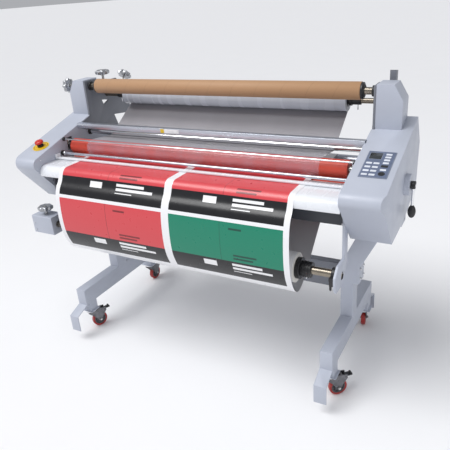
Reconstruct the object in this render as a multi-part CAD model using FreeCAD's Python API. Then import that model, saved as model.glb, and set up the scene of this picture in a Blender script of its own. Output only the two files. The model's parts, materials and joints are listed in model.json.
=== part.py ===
import FreeCAD, Part
import math
import os
from FreeCAD import Vector as V

os.makedirs("parts", exist_ok=True)

# Wide-format cold roll laminator on a wheeled stand.  Units mm, +Z up, operator at -Y.
# Everything is drawn with X = 0 midway between the side covers and Z = 0 on the floor,
# then SHIFT puts the origin under the middle of the whole machine.
SHIFT = V(-20.0, -52.54, 0.0)

# ---- driving dimensions -----------------------------------------------------------
X_IN = 797.0            # inner face of the end covers
X_LEFT, X_RIGHT = 941.0, 968.0     # outer faces; the control side is wider
SKIN = 3.0              # cover sheet thickness
PLATE_0, PLATE_1 = 800.0, 810.0    # structural side plates
ROLLER_R = 40.0
NIP_Y = -90.0
LOWER_Z, UPPER_Z = 998.8, 1081.2
JOURNAL_R = 15.0
FIT = 0.05              # radial running clearance
LIFT = 25.0             # travel of the upper roller
A_YZ = (145.0, 1360.0)  # liner rewind shaft
B_YZ = (272.0, 1291.0)  # film supply shaft
C_YZ = (-290.0, 690.0)  # print roll shaft
SHAFT_A_R, SHAFT_B_R, SHAFT_C_R = 16.0, 12.5, 18.0
SHAFT_A_END = 886.0     # inside the towers' sloped walls
CORE_R, FILM_R, PRINT_R = 39.0, 50.0, 66.0
KNOB_STEM_R = 10.0
LEVER_YZ = (20.0, 1000.0)
IDLER_YZ, IDLER_R = (240.0, 1013.9), 25.0
WEB_X0, WEB_X1 = -662.0, 608.0
FILM_HALF = 640.0
TABLE_Z = 1036.0
FOOT_Z0, FOOT_Z1 = 190.0, 285.0
FOOT_Y0, FOOT_Y1 = -297.0, 392.0
LEG_0, LEG_1 = 702.0, 762.0
POST_Y0, POST_Y1 = 12.0, 92.0
CASTER_X = 732.0
CASTERS = {             # swivel axis y, side, direction in which the wheel trails
    "front_right": (-245.0, 1, 43.0),
    "front_left": (-245.0, -1, 66.0),
    "rear_right": (352.0, 1, 100.0),
    "rear_left": (352.0, -1, 88.0),
}
TRAIL, WHEEL_R, WHEEL_W = 42.0, 45.0, 24.0

# outline of an end cover as (y, z); its roof is the straight line z = ROOF_A + ROOF_B * y
POD = [(-188, 814), (-394.8, 1061.6), (217, 1240.9), (306, 1109), (296, 925), (190, 866), (40, 826)]
ROOF_B = (POD[2][1] - POD[1][1]) / (POD[2][0] - POD[1][0])
ROOF_A = POD[1][1] - ROOF_B * POD[1][0]
ROOF_DEG = math.degrees(math.atan(ROOF_B))
NOSE_R = 35.0


# ---- helpers ------------------------------------------------------------------------
def box(x0, x1, y0, y1, z0, z1):
    return Part.makeBox(x1 - x0, y1 - y0, z1 - z0, V(x0, y0, z0))


def cyl_x(yz, r, x0, x1):
    return Part.makeCylinder(r, x1 - x0, V(x0, yz[0], yz[1]), V(1, 0, 0))


def cyl(p, d, r, h):
    return Part.makeCylinder(r, h, V(*p), V(*d))


def prism_x(pts, x0, x1):
    wire = Part.makePolygon([V(x0, y, z) for y, z in pts] + [V(x0, *pts[0])])
    return Part.Face(wire).extrude(V(x1 - x0, 0, 0))


def prism_y(pts, y0, y1):
    wire = Part.makePolygon([V(x, y0, z) for x, z in pts] + [V(pts[0][0], y0, pts[0][1])])
    return Part.Face(wire).extrude(V(0, y1 - y0, 0))


def mirrored(shape):
    return shape.mirror(V(0, 0, 0), V(1, 0, 0))


def fuse(shapes):
    out = shapes[0]
    if len(shapes) > 1:
        out = out.multiFuse(shapes[1:]).removeSplitter()
    return out


WHOLE = FreeCAD.BoundBox()


def save(name, shapes):
    solids = []
    for s in shapes:
        solids += s.Solids
    out = []
    for s in solids:
        t = s.copy()
        t.translate(SHIFT)
        out.append(t)
        WHOLE.add(t.BoundBox)
    whole = out[0] if len(out) == 1 else Part.makeCompound(out)
    whole.exportStep("parts/%s.step" % name)
    bad = [i for i, s in enumerate(out) if not s.isValid() or s.Volume <= 0]
    print(name, len(out), "solids", round(sum(s.Volume for s in out) / 1000.0, 1), "cm3", "BAD" if bad else "")


def inset(pts, d):
    """Polygon moved inwards by d, mitred corners (points run anticlockwise or clockwise)."""
    n = len(pts)
    area = sum(pts[i][0] * pts[(i + 1) % n][1] - pts[(i + 1) % n][0] * pts[i][1] for i in range(n))
    sign = 1.0 if area > 0 else -1.0
    lines = []
    for i in range(n):
        (ax, ay), (bx, by) = pts[i], pts[(i + 1) % n]
        length = math.hypot(bx - ax, by - ay)
        nx, ny = -(by - ay) / length * sign, (bx - ax) / length * sign
        lines.append((ax + nx * d, ay + ny * d, bx - ax, by - ay))
    out = []
    for i in range(n):
        ax, ay, adx, ady = lines[i - 1]
        bx, by, bdx, bdy = lines[i]
        det = adx * bdy - ady * bdx
        t = ((bx - ax) * bdy - (by - ay) * bdx) / det
        out.append((ax + adx * t, ay + ady * t))
    return out


def round_nose(solid, r):
    """Round the edge along X that lies furthest forward."""
    edges = []
    for e in solid.Edges:
        a, b = e.Vertexes[0].Point, e.Vertexes[-1].Point
        if abs(a.y - b.y) < 0.01 and abs(a.z - b.z) < 0.01 and abs(a.x - b.x) > 5:
            edges.append((a.y, e))
    edges.sort(key=lambda p: p[0])
    return solid.makeFillet(r, [edges[0][1]])


def roof_z(y):
    return ROOF_A + ROOF_B * y


def on_roof(shape, x, y):
    """Place a shape drawn round the origin (face up +Z) on the cover roof at x, y."""
    s = shape.copy()
    s.rotate(V(0, 0, 0), V(1, 0, 0), ROOF_DEG)
    s.translate(V(x, y, roof_z(y)))
    return s


def band(points, half):
    """Closed polygon of a thin sheet that follows an open list of (y, z) points."""
    left, right = [], []
    for i, (y, z) in enumerate(points):
        y0, z0 = points[max(i - 1, 0)]
        y1, z1 = points[min(i + 1, len(points) - 1)]
        length = math.hypot(y1 - y0, z1 - z0)
        ny, nz = -(z1 - z0) / length, (y1 - y0) / length
        left.append((y + ny * half, z + nz * half))
        right.append((y - ny * half, z - nz * half))
    return left + right[::-1]


def loop_faces(points, half):
    """Outer and inner polygons of a thin sheet that follows a closed list of (y, z) points."""
    one, two = [], []
    n = len(points)
    for i, (y, z) in enumerate(points):
        y0, z0 = points[i - 1]
        y1, z1 = points[(i + 1) % n]
        length = math.hypot(y1 - y0, z1 - z0)
        ny, nz = -(z1 - z0) / length, (y1 - y0) / length
        one.append((y + ny * half, z + nz * half))
        two.append((y - ny * half, z - nz * half))
    return one, two


def arc(centre, r, a0, a1, step=5.0):
    n = max(2, int(abs(a1 - a0) / step) + 1)
    out = []
    for i in range(n + 1):
        a = math.radians(a0 + (a1 - a0) * i / n)
        out.append((centre[0] + r * math.cos(a), centre[1] + r * math.sin(a)))
    return out


def smooth(points, n):
    """Catmull-Rom points through an open list, both ends kept."""
    pts = [points[0]] + list(points) + [points[-1]]
    out = []
    for i in range(1, len(pts) - 2):
        p0, p1, p2, p3 = pts[i - 1], pts[i], pts[i + 1], pts[i + 2]
        for k in range(n):
            t = k / float(n)
            out.append(tuple(
                0.5 * (2 * p1[j] + (p2[j] - p0[j]) * t + (2 * p0[j] - 5 * p1[j] + 4 * p2[j] - p3[j]) * t * t
                       + (3 * p1[j] - p0[j] - 3 * p2[j] + p3[j]) * t ** 3) for j in (0, 1)))
    out.append(points[-1])
    return out


def lobed_knob(r, h, lobes=8):
    """Cast hand knob, axis +Z, from z = 0 to h, with a stem-side boss."""
    body = Part.makeCylinder(r * 0.86, h, V(0, 0, 0))
    parts = [body]
    for i in range(lobes):
        a = 2 * math.pi * i / lobes
        parts.append(Part.makeCylinder(r * 0.2, h, V(r * 0.8 * math.cos(a), r * 0.8 * math.sin(a), 0)))
    knob = fuse(parts)
    knob = knob.fuse(Part.makeCone(r * 0.36, r * 0.3, 8, V(0, 0, h)))
    return knob.removeSplitter()


# ---- side plates --------------------------------------------------------------------
LOWER_PLATE = inset(POD, SKIN)
KNOB_D_YZ = (417.3, 1324.3)      # on the upper plate's rear chamfer, with 0.4 mm to spare
UPPER_PLATE = [(8, 1150), (8, 1172), (96, 1201), (104, 1228), (104, 1390), (190, 1390), (222, 1366),
               (375, 1366), (452, 1289), (456, 1262), (468, 1216), (472, 1186), (462, 1160), (428, 1148),
               (312, 1162), (338, 1094), (298, 1050), (240, 1050)]


def side_plate():
    lower = round_nose(prism_x(LOWER_PLATE, PLATE_0, PLATE_1), NOSE_R - SKIN)
    plate = fuse([lower, prism_x(UPPER_PLATE, PLATE_0, PLATE_1)])
    cuts = [
        prism_x([(222, 1269), (280, 1254), (234, 1236)], 799, 811),
        cyl_x((NIP_Y, LOWER_Z), JOURNAL_R + 3, 799, 811),
        box(799, 811, NIP_Y - 18, NIP_Y + 18, UPPER_Z - 18, UPPER_Z + LIFT + 18),
        cyl_x(A_YZ, SHAFT_A_R + FIT, 799, 811),
        cyl_x(B_YZ, SHAFT_B_R + FIT, 799, 811),
        cyl_x(LEVER_YZ, 10 + FIT, 799, 811),
        cyl_x(IDLER_YZ, 8 + FIT, 799, 811),
        cyl_x((-250, 1000), 28, 799, 811),
        cyl_x((150, 1060), 34, 799, 811),
        cyl_x((160, 940), 26, 799, 811),
    ]
    for c in cuts:
        plate = plate.cut(c)
    return plate


plate_r = side_plate()
save("side_plate_right", [plate_r])
save("side_plate_left", [mirrored(plate_r)])

# ---- end covers ---------------------------------------------------------------------
BEAM_F = (-215.0, -155.0, 880.0, 960.0)
BEAM_R = (90.0, 150.0, 930.0, 990.0)
RAIL = (-14.0, 16.0, 1158.0, 1184.0)
ARM_OUT = 790.0
ARM = [(LEG_0, 480), (LEG_0, 579), (835, 862), (940, 862), (ARM_OUT, 566), (ARM_OUT, 480)]


def cover(x_out, right):
    outer = round_nose(prism_x(POD, X_IN, x_out), NOSE_R)
    inner = round_nose(prism_x(inset(POD, SKIN), PLATE_0, x_out - SKIN), NOSE_R - SKIN)
    corner = [V(x_out - 38, -440, 700), V(x_out + 5, -318, 700), V(x_out + 5, -440, 700)]
    wedge = Part.Face(Part.makePolygon(corner + corner[:1])).extrude(V(0, 0, 600))
    wedge_in = wedge.copy()
    wedge_in.translate(V(-SKIN, SKIN, 0))
    shell = outer.cut(wedge).cut(inner.cut(wedge_in))
    cuts = [
        cyl_x((NIP_Y, LOWER_Z), JOURNAL_R + 6, 796, 800.5),
        box(796, 800.5, NIP_Y - 22, NIP_Y + 22, UPPER_Z - 22, UPPER_Z + LIFT + 22),
        cyl_x(LEVER_YZ, 14, 796, x_out + 1 if right else 800.5),
        cyl_x(IDLER_YZ, 13, 796, 800.5),
        box(796, 800.5, BEAM_F[0], BEAM_F[1], BEAM_F[2], BEAM_F[3]),
        box(796, 800.5, BEAM_R[0], BEAM_R[1], BEAM_R[2], BEAM_R[3]),
        box(796, 800.5, RAIL[0], RAIL[1], RAIL[2], RAIL[3] + 4),
        prism_x(UPPER_PLATE, PLATE_0 - 0.2, PLATE_1 + 0.2),
        prism_x(UPPER_PLATE, 796, PLATE_0),
        box(830, 905, 112, 205, 1180, 1250),
        box(835, 900, 25, 80, 800, 860),
    ]
    for c in cuts:
        shell = shell.cut(c)
    return shell


cov_r = cover(X_RIGHT, True)
boss = cyl_x(LEVER_YZ, 46, X_RIGHT, 990).cut(cyl_x(LEVER_YZ, 14, X_RIGHT - 1, 991))
boss = boss.fuse(cyl_x(LEVER_YZ, 30, 984, 990).cut(cyl_x(LEVER_YZ, 10 + FIT, 983, 991))).removeSplitter()
cov_r = cov_r.fuse(boss).removeSplitter()
save("cover_right", [cov_r])
cov_l = mirrored(cover(X_LEFT, False))
save("cover_left", [cov_l])


TOWER_0 = PLATE_1 + 1.0


def tower():
    pts = [(103, roof_z(103)), (103, 1394), (218, 1394), (218, 1239.4), (217, roof_z(217))]
    outer = prism_x(pts, TOWER_0, 922)
    inner = prism_x([(106, 1190), (106, 1391), (215, 1391), (215, 1190)], TOWER_0 + SKIN, 919)
    wedge = prism_y([(884, 1394), (922, 1328), (930, 1328), (930, 1400), (884, 1400)], 90, 230)
    wedge_in = wedge.copy()
    wedge_in.translate(V(-SKIN, 0, -SKIN))
    shell = outer.cut(wedge).cut(inner.cut(wedge_in))
    shell = shell.cut(cyl_x(A_YZ, 24, TOWER_0 - 1, TOWER_0 + SKIN + 1))
    return shell


tow_r = tower()
save("tower_cover_right", [tow_r])
tow_l = mirrored(tow_r).cut(cyl_x(A_YZ, KNOB_STEM_R + FIT, -930, -SHAFT_A_END + 6))
save("tower_cover_left", [tow_l])

# ---- stand ---------------------------------------------------------------------------
pod_block_r = prism_x(POD, X_IN, X_RIGHT)


def leg():
    outer = [box(LEG_0, LEG_1, FOOT_Y0, FOOT_Y1, FOOT_Z0, FOOT_Z1),
             box(LEG_0, LEG_1, POST_Y0, POST_Y1, FOOT_Z1 - 1, 481),
             prism_y(ARM, POST_Y0 - 2, POST_Y1 + 2)]
    inner = [box(LEG_0 + 3, LEG_1 - 3, FOOT_Y0 + 3, FOOT_Y1 - 3, FOOT_Z0 + 3, FOOT_Z1 - 3),
             box(LEG_0 + 3, LEG_1 - 3, POST_Y0 + 3, POST_Y1 - 3, FOOT_Z1 - 5, 490),
             prism_y(inset(ARM, 3), POST_Y0 + 1, POST_Y1 - 1)]
    pads = []
    for y in (-245.0, 352.0):
        pads.append(box(LEG_0, LEG_1, y - 30, y + 30, 134, FOOT_Z0))
        pads.append(box(CASTER_X - 42, CASTER_X + 42, y - 35, y + 35, 130, 134))
    body = fuse(outer + pads)
    for s in inner:
        body = body.cut(s)
    for y in (-245.0, 352.0):
        body = body.cut(box(LEG_0 + 3, LEG_1 - 3, y - 27, y + 27, 134, FOOT_Z0 + 4))
        body = body.cut(Part.makeCylinder(6 + FIT, 6, V(CASTER_X, y, 129)))
    body = body.cut(pod_block_r)
    guard = [(-280, 190), (-297, 190), (-382, 158), (-382, 62), (-377, 62), (-377, 154.6), (-296, 185),
             (-280, 185)]
    guards = []
    for sign, mid in ((1, 0.0), (-1, FOOT_Y0 + FOOT_Y1)):
        pts = [(mid + sign * y, z) for y, z in guard]
        guards.append(prism_x(pts, LEG_0, LEG_1).cut(body))
    return [body.removeSplitter()] + guards


leg_r = leg()
save("leg_right", leg_r)
save("leg_left", [mirrored(solid) for solid in leg_r])
beam = box(-LEG_0, LEG_0, 30, 74, 432, 562).cut(box(-LEG_0 + 4, LEG_0 - 4, 33, 71, 435, 559))
beam = beam.cut(Part.makeCylinder(20, 20, V(0, 60, 497), V(0, 1, 0)))
save("cross_beam", [beam])

# ---- beams between the side plates -----------------------------------------------------


def tube_between_plates(section, wall):
    """Square tube along X from plate to plate; section is (y0, y1, z0, z1)."""
    y0, y1, z0, z1 = section
    bore = box(-PLATE_0 - 1, PLATE_0 + 1, y0 + wall, y1 - wall, z0 + wall, z1 - wall)
    return box(-PLATE_0, PLATE_0, *section).cut(bore)


RIB_X = (-620, -210, 210, 620)
ribs = [box(x - 3, x + 3, BEAM_F[0] + 5, BEAM_F[1], BEAM_F[3], TABLE_Z - 3) for x in RIB_X]
save("table_beams", [fuse([tube_between_plates(BEAM_F, 4)] + ribs), tube_between_plates(BEAM_R, 4)])
save("top_rail", [tube_between_plates(RAIL, 3)])

# ---- feed table, hold-down bar, guide bars ----------------------------------------------
TABLE_X = 796.0
NOSE_C, NOSE_TR = (-298.0, 996.0), 40.0
TABLE_BACK, TABLE_T, LIP_Z = -140.0, 3.0, 984.0


def table_block(r):
    """Solid under the table's top face, rounded round NOSE_C with radius r at the front."""
    y, z = NOSE_C
    block = box(-TABLE_X, TABLE_X, y, TABLE_BACK, LIP_Z, z + r).fuse(box(-TABLE_X, TABLE_X, y - r, y, LIP_Z, z))
    return block.fuse(cyl_x(NOSE_C, r, -TABLE_X, TABLE_X).common(box(-TABLE_X, TABLE_X, y - r, y, z, z + r)))


under = table_block(NOSE_TR - TABLE_T)
under = under.fuse(box(-TABLE_X, TABLE_X, NOSE_C[0] - NOSE_TR + TABLE_T, TABLE_BACK, LIP_Z - 1, LIP_Z + 1))
save("feed_table", [table_block(NOSE_TR).cut(under).removeSplitter()])
HOLD = (-209.0, -187.0, 1038.4, 1046.4)
hold = box(-X_IN + 6, X_IN - 6, *HOLD)
ends = [box(X_IN - 6, X_IN, HOLD[0] - 6, HOLD[1] + 6, HOLD[2], HOLD[3] + 18)]
ends.append(mirrored(ends[0]))
save("hold_down_bar", [fuse([hold] + ends)])
GUARD_YZ, ROD_YZ, FILM_BAR_YZ, FILM_BAR_R = (-160.0, 1058.0), (-134.0, 1127.0), (78.0, 1118.0), 12.0
save("guide_bars", [cyl_x(GUARD_YZ, 7, -X_IN, X_IN), cyl_x(ROD_YZ, 4, -X_IN, X_IN),
                    cyl_x(FILM_BAR_YZ, FILM_BAR_R, -X_IN, X_IN)])

# ---- hangers and saddles of the print roll shaft ------------------------------------------
HANG_0, HANG_1 = 787.0, 797.0
hang_pts = [(-266, 985), (-266, 758), (-345, 758), (-384, 722), (-384, 672), (-366, 646), (-300, 646),
            (-246, 690), (-222, 742), (-222, 985)]
hang = prism_x(hang_pts, HANG_0, HANG_1)
hang_r = hang.cut(cyl_x(C_YZ, SHAFT_C_R + FIT, 786, 798))
CLAMP_YZ = (-290.0, 660.0)
block = box(753, HANG_0, -330, -250, 650, 690).cut(cyl_x(C_YZ, SHAFT_C_R + FIT, 752, 788))
block = block.cut(cyl_x(CLAMP_YZ, 4 + FIT, 752, 770))
hang_r = fuse([hang_r, block])
save("hanger_right", [hang_r])
# the left one stays behind the shaft, so that the brake box's side is open
hang_l_pts = [(-262, 985), (-262, 660), (-250, 646), (-234, 646), (-222, 660), (-222, 985)]
hang_l = mirrored(prism_x(hang_l_pts, HANG_0, HANG_1))
save("hanger_left", [hang_l])


def long_edges_x(shape, span):
    return [ed for ed in shape.Edges if abs(ed.Vertexes[0].Point.x - ed.Vertexes[-1].Point.x) > span]


brake_box = box(-942, -797, -335, -245, 640, 742).cut(cyl_x(C_YZ, SHAFT_C_R + FIT, -880, -796))
brake_box = brake_box.cut(Part.makeCylinder(8 + FIT, 40, V(-872, -290, 715)))
brake_box = brake_box.makeFillet(5, long_edges_x(brake_box, 100))
save("brake_box_c", [brake_box])

# ---- rear brackets of the film shaft --------------------------------------------------------
BLOCK_Z = (B_YZ[1] - 30, B_YZ[1] + 33)
KNOB_B = (-830.0, 297.0, BLOCK_Z[1] - 12)     # foot of the knob's stem, 12 mm down in the left block
rb_l = box(-852, -PLATE_1, B_YZ[0] - 27, B_YZ[0] + 37, *BLOCK_Z).cut(cyl_x(B_YZ, SHAFT_B_R + FIT, -846, -809))
rb_l = rb_l.cut(Part.makeCylinder(7 + FIT, 14, V(KNOB_B[0], KNOB_B[1], KNOB_B[2] - 1)))
MAST_Z = (BLOCK_Z[1] - 20, 1424.0)
rb_r = fuse([box(PLATE_1, 846, B_YZ[0] - 22, 300, *BLOCK_Z), box(831, 856, 262, 265, *MAST_Z),
             box(853, 856, 262, 300, *MAST_Z), box(822, 856, 297, 300, *MAST_Z)])
rb_r = rb_r.cut(cyl_x(B_YZ, SHAFT_B_R + FIT, 809, 842))
save("rear_brackets", [rb_l, rb_r])

# ---- bearings and drive ------------------------------------------------------------------------
BLOCK_HALF = 38.0
LOWER_YZ = (NIP_Y, LOWER_Z)
bearing = box(PLATE_1, 834, NIP_Y - BLOCK_HALF, NIP_Y + BLOCK_HALF, LOWER_Z - BLOCK_HALF, LOWER_Z + BLOCK_HALF)
bearing = bearing.makeChamfer(8, long_edges_x(bearing, 20)).cut(cyl_x(LOWER_YZ, JOURNAL_R + FIT, 809, 835))
save("bearing_blocks", [bearing, mirrored(bearing)])
MOTOR_YZ = (70.0, 890.0)
gear = box(PLATE_1, 857, 38, 102, 856, 924).cut(cyl_x(MOTOR_YZ, 7 + FIT, 800, 858))
can = cyl((834, 38, 890), (0, -1, 0), 23, 104)
fins = [cyl((834, 30 - 12 * i, 890), (0, -1, 0), 23.9, 4) for i in range(7)]
motor = fuse([gear, can] + fins)
save("gearmotor", [motor])
PUL_0, PUL_1 = 861.0, 883.0
DRIVE_R, MOTOR_R = 30.0, 20.0
lower_shaft = fuse([cyl_x(LOWER_YZ, JOURNAL_R, -834, 888), cyl_x(LOWER_YZ, DRIVE_R, PUL_0, PUL_1),
                    cyl_x(LOWER_YZ, DRIVE_R + 5, PUL_0 - 2, PUL_0),
                    cyl_x(LOWER_YZ, DRIVE_R + 5, PUL_1, PUL_1 + 2)])
sleeve = cyl_x(LOWER_YZ, ROLLER_R, -760, 760).cut(cyl_x(LOWER_YZ, JOURNAL_R, -761, 761))
save("lower_roller", [sleeve, lower_shaft])
save("motor_pulley", [fuse([cyl_x(MOTOR_YZ, 7, 820, 888), cyl_x(MOTOR_YZ, MOTOR_R, PUL_0, PUL_1)])])


def tangent_belt(c0, r0, c1, r1, thick, x0, x1):
    def hull(ra, rb):
        d = math.hypot(c1[0] - c0[0], c1[1] - c0[1])
        base = math.atan2(c1[1] - c0[1], c1[0] - c0[0])
        phi = math.acos((ra - rb) / d)
        pts = []
        ends = ((c0, ra, base + phi, base + 2 * math.pi - phi), (c1, rb, base - phi, base + phi))
        for (c, rr, a0, a1) in ends:
            n = 28
            for i in range(n + 1):
                a = a0 + (a1 - a0) * i / n
                pts.append((c[0] + rr * math.cos(a), c[1] + rr * math.sin(a)))
        return pts
    return prism_x(hull(r0 + thick, r1 + thick), x0, x1).cut(prism_x(hull(r0, r1), x0 - 1, x1 + 1))


save("drive_belt", [tangent_belt(LOWER_YZ, DRIVE_R + 0.5, MOTOR_YZ, MOTOR_R + 0.5, 2.5, PUL_0 + 2, PUL_1 - 2)])

# ---- upper roller, its carriers and the pressure lever ----------------------------------------------
up = (NIP_Y, UPPER_Z)
save("upper_roller", [cyl_x(up, ROLLER_R, -760, 760).cut(cyl_x(up, JOURNAL_R, -761, 761))])
save("upper_shaft", [cyl_x(up, JOURNAL_R, -834, 834)])
car = box(PLATE_1 + 0.3, 834, NIP_Y - 32, NIP_Y + 32, 1053, 1109).cut(cyl_x(up, JOURNAL_R + FIT, 809, 835))
tongue = fuse([box(834, 850, NIP_Y - 24, 45, 1056, 1072), box(834, 850, 4, 36, 1012, 1057)])
tongue = tongue.cut(cyl_x(up, JOURNAL_R + 2, 833, 851))
car = fuse([car, tongue])
save("roller_carriers", [car, mirrored(car)])


def cam(x0, x1):
    return cyl_x((LEVER_YZ[0], LEVER_YZ[1] - 12.5), 20, x0, x1)


hub = cyl_x(LEVER_YZ, 17, 990.3, 1012)
rod = cyl((1001, LEVER_YZ[0], LEVER_YZ[1] - 15), (0, 0, -1), 6, 77)
lever = fuse([cyl_x(LEVER_YZ, 10, -852, 992), cam(836, 850), cam(-850, -836), hub, rod])
save("pressure_lever", [lever])
egg = FreeCAD.Matrix()
egg.scale(V(1, 1, 1.7))
grip = Part.makeSphere(17, V(0, 0, 0)).transformGeometry(egg)
grip.translate(V(1001, LEVER_YZ[0], LEVER_YZ[1] - 120))
grip = grip.cut(cyl((1001, LEVER_YZ[0], LEVER_YZ[1] - 80), (0, 0, -1), 6, 12))
save("lever_grip", [grip])

# ---- shafts and rolls -----------------------------------------------------------------------------


def both_ends(yz, r, x0, x1):
    """Two equal discs on a shaft, one at each end."""
    return [cyl_x(yz, r, x0, x1), cyl_x(yz, r, -x1, -x0)]


shaft_a = [cyl_x(A_YZ, SHAFT_A_R, -SHAFT_A_END, SHAFT_A_END)]
shaft_a += both_ends(A_YZ, 37, 739, 753) + both_ends(A_YZ, 33, 690, 740) + both_ends(A_YZ, 24, 786, 796)
save("shaft_a", [fuse(shaft_a)])
save("core_a", [cyl_x(A_YZ, CORE_R, -739, 739).cut(cyl_x(A_YZ, 33, -740, 740))])
shaft_b = [cyl_x(B_YZ, SHAFT_B_R, -842, 840)] + both_ends(B_YZ, 19, 645, 706) + both_ends(B_YZ, 29, 596, 646)
save("shaft_b", [fuse(shaft_b)])
save("film_roll", [cyl_x(B_YZ, FILM_R, -645, 645).cut(cyl_x(B_YZ, 29, -646, 646))])
shaft_c = fuse([cyl_x(C_YZ, SHAFT_C_R, -874, 794), cyl_x(C_YZ, 47, 601, 622), cyl_x(C_YZ, 34, 622, 668),
                cyl_x(C_YZ, 47, -676, -655), cyl_x(C_YZ, 34, -722, -676),
                cyl_x(C_YZ, 40, 560, 601), cyl_x(C_YZ, 40, -655, -614)])
save("shaft_c", [shaft_c])
save("print_roll", [cyl_x(C_YZ, PRINT_R, -655, 601).cut(cyl_x(C_YZ, 40, -656, 602))])
idl = fuse([cyl_x(IDLER_YZ, IDLER_R, -780, 780), cyl_x(IDLER_YZ, 8, -806, 806)])
save("rear_idler", [idl])
clamp = fuse([cyl_x(CLAMP_YZ, 11, 741, 752.6), cyl_x(CLAMP_YZ, 4, 741, 768),
              box(743, 751, -298, -282, 606, 660)])
save("clamp_lever", [clamp])

# ---- knobs -----------------------------------------------------------------------------------------
KNOB_R, KNOB_H = 42.0, 22.0


def knob(p, d, stem_r, stem_l):
    """Knob whose stem starts at p and points along d; the lobed head is on the stem's end."""
    crown = lobed_knob(KNOB_R, KNOB_H).mirror(V(0, 0, 0), V(0, 0, 1)).translated(V(0, 0, stem_l + 8 + KNOB_H))
    k = fuse([Part.makeCylinder(stem_r, stem_l + 1, V(0, 0, 0)), crown])
    k.Placement = FreeCAD.Placement(V(*p), FreeCAD.Rotation(V(0, 0, 1), V(*d)))
    return k


knob_a = knob((-SHAFT_A_END - 1, A_YZ[0], A_YZ[1]), (-1, 0, 0), KNOB_STEM_R, 61)
save("knob_a", [knob_a])
knob_b = knob(KNOB_B, (0, 0, 1), 7, 82)
save("knob_b", [knob_b])
knob_c = knob((-872, -290, 718), (0, 0, 1), 8, 42)
save("knob_c", [knob_c])
CHAMFER_DIR = (0, math.sqrt(0.5), math.sqrt(0.5))      # square to the plate's rear top chamfer
knob_d = knob((-805, *KNOB_D_YZ), CHAMFER_DIR, 5, 50)
save("knob_d", [knob_d])

# ---- emergency stop, control panel, power inlet --------------------------------------------------------
ES_X, ES_Y = -865.0, -235.0
legend = fuse([Part.makeCylinder(44, 3), Part.makeCylinder(17, 13)])
legend = legend.cut(Part.makeCylinder(9 + FIT, 12, V(0, 0, 2)))
save("estop_base", [on_roof(legend, ES_X, ES_Y)])
mushroom = fuse([Part.makeCylinder(9, 14, V(0, 0, 9)), Part.makeCylinder(23, 10, V(0, 0, 21)),
                 Part.makeCone(23, 18, 6, V(0, 0, 31))])
save("estop_button", [on_roof(mushroom, ES_X, ES_Y)])
PX, PY = 889.0, -152.5
panel = box(-55, 55, -91, 91, 0, 3)
panel = panel.cut(box(-46, 6, 32, 80, 2, 4))
keys = []
for row in range(4):
    for col in range(2):
        keys.append(box(-46 + col * 29, -24 + col * 29, -80 + row * 26, -68 + row * 26, 3, 3.8))
for row in range(6):
    keys.append(box(16, 42, -46 + row * 22, -36 + row * 22, 3, 3.8))
keys.append(Part.makeCylinder(9, 0.8, V(29, -70, 3)))
panel = fuse([panel] + keys)
save("control_panel", [on_roof(panel, PX, PY)])
INLET_Y, INLET_FACE, INLET_Z = 100.0, 950.0, 792.0     # front of the box, its outer face, socket height
inlet = box(880, INLET_FACE, INLET_Y, INLET_Y + 88, 765, 880).cut(pod_block_r)
inlet = inlet.cut(box(883, INLET_FACE - SKIN, INLET_Y + 3, INLET_Y + 85, 768, 1000))
inlet = inlet.cut(box(946, 951, INLET_Y + 14, INLET_Y + 42, INLET_Z - 14, INLET_Z + 14))
inlet = inlet.cut(box(946, 951, INLET_Y + 52, INLET_Y + 72, INLET_Z - 16, INLET_Z + 16))
socket = box(930, 947, INLET_Y + 15, INLET_Y + 41, INLET_Z - 13, INLET_Z + 13)
socket = socket.cut(box(936, 948, INLET_Y + 18, INLET_Y + 38, INLET_Z - 10, INLET_Z + 10))
cup = box(930, 947, INLET_Y + 50, INLET_Y + 74, INLET_Z - 18, INLET_Z + 18)
cup = cup.cut(box(932, 948, INLET_Y + 52, INLET_Y + 72, INLET_Z - 16, INLET_Z + 16))
save("power_inlet", [fuse([inlet, socket, cup])])
ROCKER_REST_DEG = 7.0
rocker = box(936, 948, INLET_Y + 53, INLET_Y + 71, INLET_Z - 14, INLET_Z + 14)
rocker.rotate(V(940, INLET_Y + 62, INLET_Z), V(0, 1, 0), -ROCKER_REST_DEG)
save("rocker", [rocker])

# ---- webs ------------------------------------------------------------------------------------------------
line = []
line += [(NIP_Y, 1039.5), (-115, 1038.4), (-150, TABLE_Z + 0.7)]
line += [(-190, TABLE_Z + 0.7), (-245, TABLE_Z + 0.7)]
line += arc(NOSE_C, NOSE_TR + 0.7, 90, 160, 5)
fall = [line[-1], (-352, 976), (-374, 946), (-389, 905), (-396, 850), (-398, 780), (-392, 712), (-374, 655),
        (-346, 608), (-306, 580), (-262, 586), (-215, 617), (-149, 672), (-26, 780)]
line += smooth(fall, 4)[1:]
# last straight stretch to the rear idler: tangent from (-26, 780) below and behind it
R_ID = IDLER_R + 0.7
dx, dz = IDLER_YZ[0] + 26.0, IDLER_YZ[1] - 780.0
dist = math.hypot(dx, dz)
ang = math.atan2(dz, dx) - math.asin(R_ID / dist)
a_start = math.degrees(ang) - 90.0
line += arc(IDLER_YZ, R_ID, a_start, 90, 5)
line += [(200, 1039.6), (100, 1039.6), (0, 1039.5), (-60, 1039.5)]
one, two = loop_faces(line, 0.3)


def poly_area(p):
    return abs(sum(p[i - 1][0] * q[1] - q[0] * p[i - 1][1] for i, q in enumerate(p))) / 2


big, small = (one, two) if poly_area(one) > poly_area(two) else (two, one)
web = prism_x(big, WEB_X0, WEB_X1).cut(prism_x(small, WEB_X0 - 1, WEB_X1 + 1))
save("print_web", [web])

R_UP = ROLLER_R + 0.6
R_FB = FILM_BAR_R + 0.7
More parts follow.
